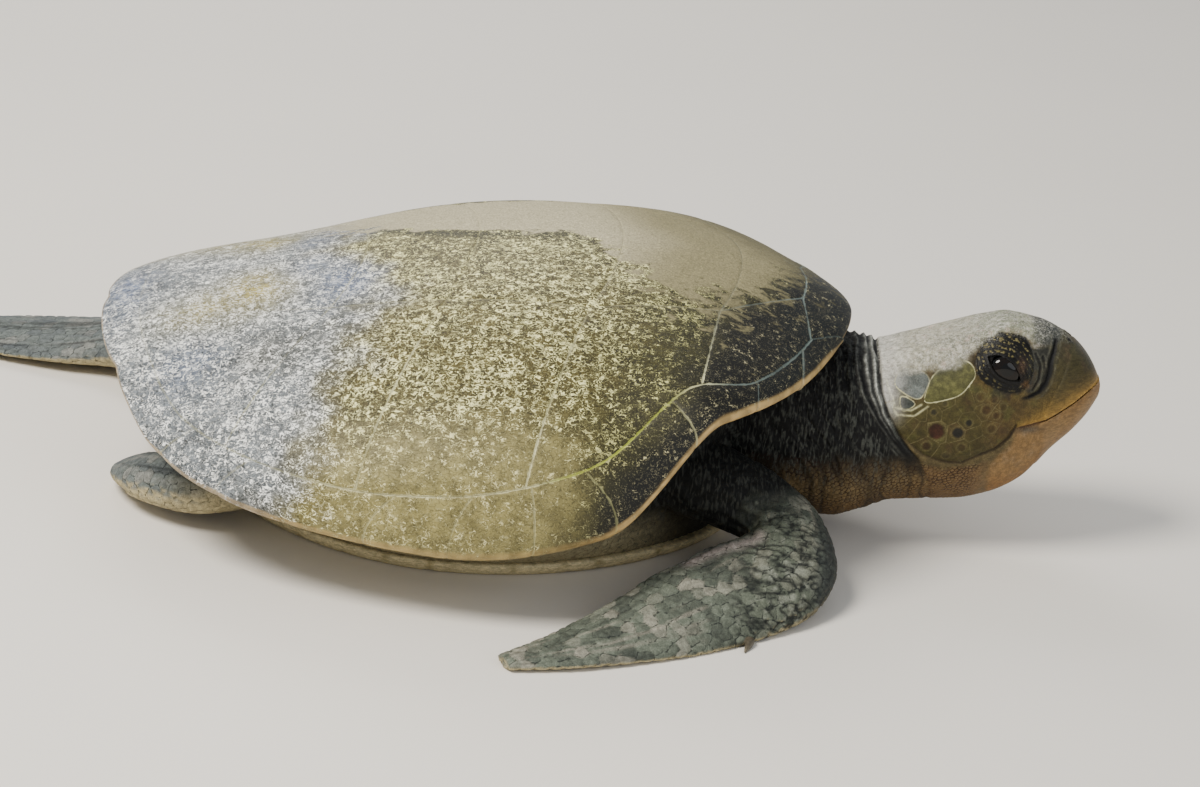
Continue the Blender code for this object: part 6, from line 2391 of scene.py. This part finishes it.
def make_claws(looks):
    """The single claw on each front flipper: a curved horn tapering to a blunt tip."""
    material = horn_material("claw_horn", 0.38)
    for side, word in SIDES:
        loops = limb_loops(FRONT_LIMB, 19, 12)
        here, there = loops[11], loops[12]
        edge = (here[6] + there[6]) / 2
        back = unit(there[6] - here[6])
        outward = unit((here[6] - here[0]) * (1, 1, 0))
        outward = unit(outward - back * (outward @ back))
        upward = np.cross(back, outward)
        upward *= np.sign(upward[2])
        rings = []
        for share in np.concatenate([np.linspace(-0.25, 0.94, 26), [0.97, 0.99, 1.0]]):
            radius = float(smooth(CLAW_RINGS, max(share, 0)))
            radius *= math.sqrt(max(1 - max((share - 0.9) / 0.1001, 0) ** 2, 0.0)) + 0.02
            middle = (edge + outward * (0.0004 + CLAW_LENGTH * 0.6 * share)
                      + back * (CLAW_LENGTH * 0.8 * max(share, 0) ** 1.5))
            middle[2] = max(edge[2] * (1 - 0.4 * max(share, 0)), radius)
            ripple = 1 + 0.02 * math.sin(share * 40)
            rings.append([middle + back * (math.cos(a) * radius * 1.4 * ripple)
                          + upward * (math.sin(a) * radius * ripple)
                          for a in np.linspace(0, 2 * math.pi, CLAW_SIDES, False)])
        points, faces = closed_loft(mirrored(np.maximum(rings, (-1, -1, 0)), side))
        made = new_object(f"claw_horn_{word}", points, faces)
        face_outwards(made.data)
        tint = filled(looks.claw, len(points))
        row = np.repeat(np.linspace(0, 1, len(rings)), CLAW_SIDES)
        paint(tint, ramp(row, 0.6, 1.0) * 0.5, MARK.claw_tip)
        store(made.data, "tint", tint)
        dress(made, material, "dark_claw", f"claw_{word}")


# Studio

def area_light(name, place_at, aim, size, power, colour):
    """A round lamp aimed at a point."""
    light = bpy.data.lights.new(name, "AREA")
    light.shape = "DISK"
    light.size = size
    light.energy = power
    light.color = colour
    made = bpy.data.objects.new(name, light)
    made.location = place_at
    made.rotation_euler = (Vector(aim) - Vector(place_at)).to_track_quat("-Z", "Y").to_euler()
    bpy.context.scene.collection.objects.link(made)


def make_studio(looks):
    """Floor, even light, lamps and camera."""
    mesh = bpy.data.meshes.new("floor")
    far = FLOOR_HALF
    mesh.from_pydata([(-far, -far, 0), (far, -far, 0), (far, far, 0), (-far, far, 0)], [],
                     [(0, 1, 2, 3)])
    floor = bpy.data.objects.new("floor", mesh)
    bpy.context.scene.collection.objects.link(floor)
    material, tree, shader = start_material("matt_floor", 0.85)
    node = partial(add, tree)
    spot = place(tree)
    shade = node("range", node("noise", spot, 1 / 0.5, 3.0), 0.2, 0.8)
    colour = node("mix", shade, four(looks.floor), four([c * 0.97 for c in looks.floor]))
    tree.links.new(colour, shader.inputs["Base Color"])
    mesh.materials.append(material)
    world = bpy.data.worlds.new("even_light")
    bpy.context.scene.world = world
    world.use_nodes = True
    backdrop = world.node_tree.nodes["Background"]
    backdrop.inputs["Color"].default_value = four(MARK.sky_light)
    backdrop.inputs["Strength"].default_value = looks.sky
    area_light("key", KEY_PLACE, (0.05, 0, 0.1), 1.3, looks.key, MARK.key_light)
    area_light("fill", FILL_PLACE, (0.2, 0, 0.1), 2.0, looks.fill, MARK.fill_light)
    area_light("back", BACK_PLACE, (0.0, 0, 0.15), 1.5, looks.fill * BACK_SHARE, MARK.back_light)
    camera = bpy.data.cameras.new("camera")
    camera.lens = CAMERA_LENS
    camera.sensor_width = 36.0
    camera.clip_start = 0.05
    made = bpy.data.objects.new("camera", camera)
    eye, aim = Vector(CAMERA_EYE), Vector(CAMERA_AIM)
    turned = (aim - eye).to_track_quat("-Z", "Y").to_matrix().to_4x4()
    roll = Matrix.Rotation(math.radians(CAMERA_ROLL), 4, "Z")
    made.matrix_world = Matrix.Translation(eye) @ turned @ roll
    bpy.context.scene.collection.objects.link(made)
    bpy.context.scene.camera = made


# Operators, panel and registration

class TURTLE_OT_carapace(bpy.types.Operator):
    """Makes the vertebral, costal, marginal and nuchal scutes."""
    bl_idname = "turtle.carapace"
    bl_label = "Carapace"

    def execute(self, context):
        looks = context.scene.turtle_shell
        material = scute_material(looks)
        make_scutes(looks, material)
        make_margin(looks, material)
        return {"FINISHED"}


class TURTLE_OT_plastron(bpy.types.Operator):
    """Makes the horn of the underside."""
    bl_idname = "turtle.plastron"
    bl_label = "Plastron"

    def execute(self, context):
        make_plastron(context.scene.turtle_shell)
        return {"FINISHED"}


class TURTLE_OT_skin(bpy.types.Operator):
    """Makes the skin of the head, neck, limbs, trunk and tail."""
    bl_idname = "turtle.skin"
    bl_label = "Skin"

    def execute(self, context):
        make_skin(context.scene.turtle_skin, context.scene.turtle_horn)
        return {"FINISHED"}


class TURTLE_OT_horn(bpy.types.Operator):
    """Makes the beak, the eyes and the claws."""
    bl_idname = "turtle.horn"
    bl_label = "Beak, eyes and claws"

    def execute(self, context):
        looks = context.scene.turtle_horn
        make_beak(looks, context.scene.turtle_skin)
        make_eyes(looks)
        make_claws(looks)
        return {"FINISHED"}


class TURTLE_OT_studio(bpy.types.Operator):
    """Makes the floor, the lights and the camera."""
    bl_idname = "turtle.studio"
    bl_label = "Studio"

    def execute(self, context):
        make_studio(context.scene.turtle_studio)
        return {"FINISHED"}


class TURTLE_PT_panel(bpy.types.Panel):
    """Lists the turtle's pieces."""
    bl_idname = "TURTLE_PT_panel"
    bl_label = "Ridley Sea Turtle"
    bl_space_type = "VIEW_3D"
    bl_region_type = "UI"
    bl_category = "Turtle"

    def draw(self, context):
        for operator in OPERATORS:
            self.layout.operator(operator.bl_idname)


GROUPS = (TurtleShell, TurtleSkin, TurtleHorn, TurtleStudio)
OPERATORS = (TURTLE_OT_carapace, TURTLE_OT_plastron, TURTLE_OT_skin, TURTLE_OT_horn,
             TURTLE_OT_studio)


def register():
    for kind in (*GROUPS, *OPERATORS, TURTLE_PT_panel):
        bpy.utils.register_class(kind)
    scene = bpy.types.Scene
    scene.turtle_shell = bpy.props.PointerProperty(type=TurtleShell)
    scene.turtle_skin = bpy.props.PointerProperty(type=TurtleSkin)
    scene.turtle_horn = bpy.props.PointerProperty(type=TurtleHorn)
    scene.turtle_studio = bpy.props.PointerProperty(type=TurtleStudio)


def unregister():
    scene = bpy.types.Scene
    for name in ("turtle_shell", "turtle_skin", "turtle_horn", "turtle_studio"):
        delattr(scene, name)
    for kind in reversed((*GROUPS, *OPERATORS, TURTLE_PT_panel)):
        bpy.utils.unregister_class(kind)


def main():
    register()
    bpy.ops.turtle.carapace()
    bpy.ops.turtle.plastron()
    bpy.ops.turtle.skin()
    bpy.ops.turtle.horn()
    bpy.ops.turtle.studio()


if __name__ == "__main__":
    main()
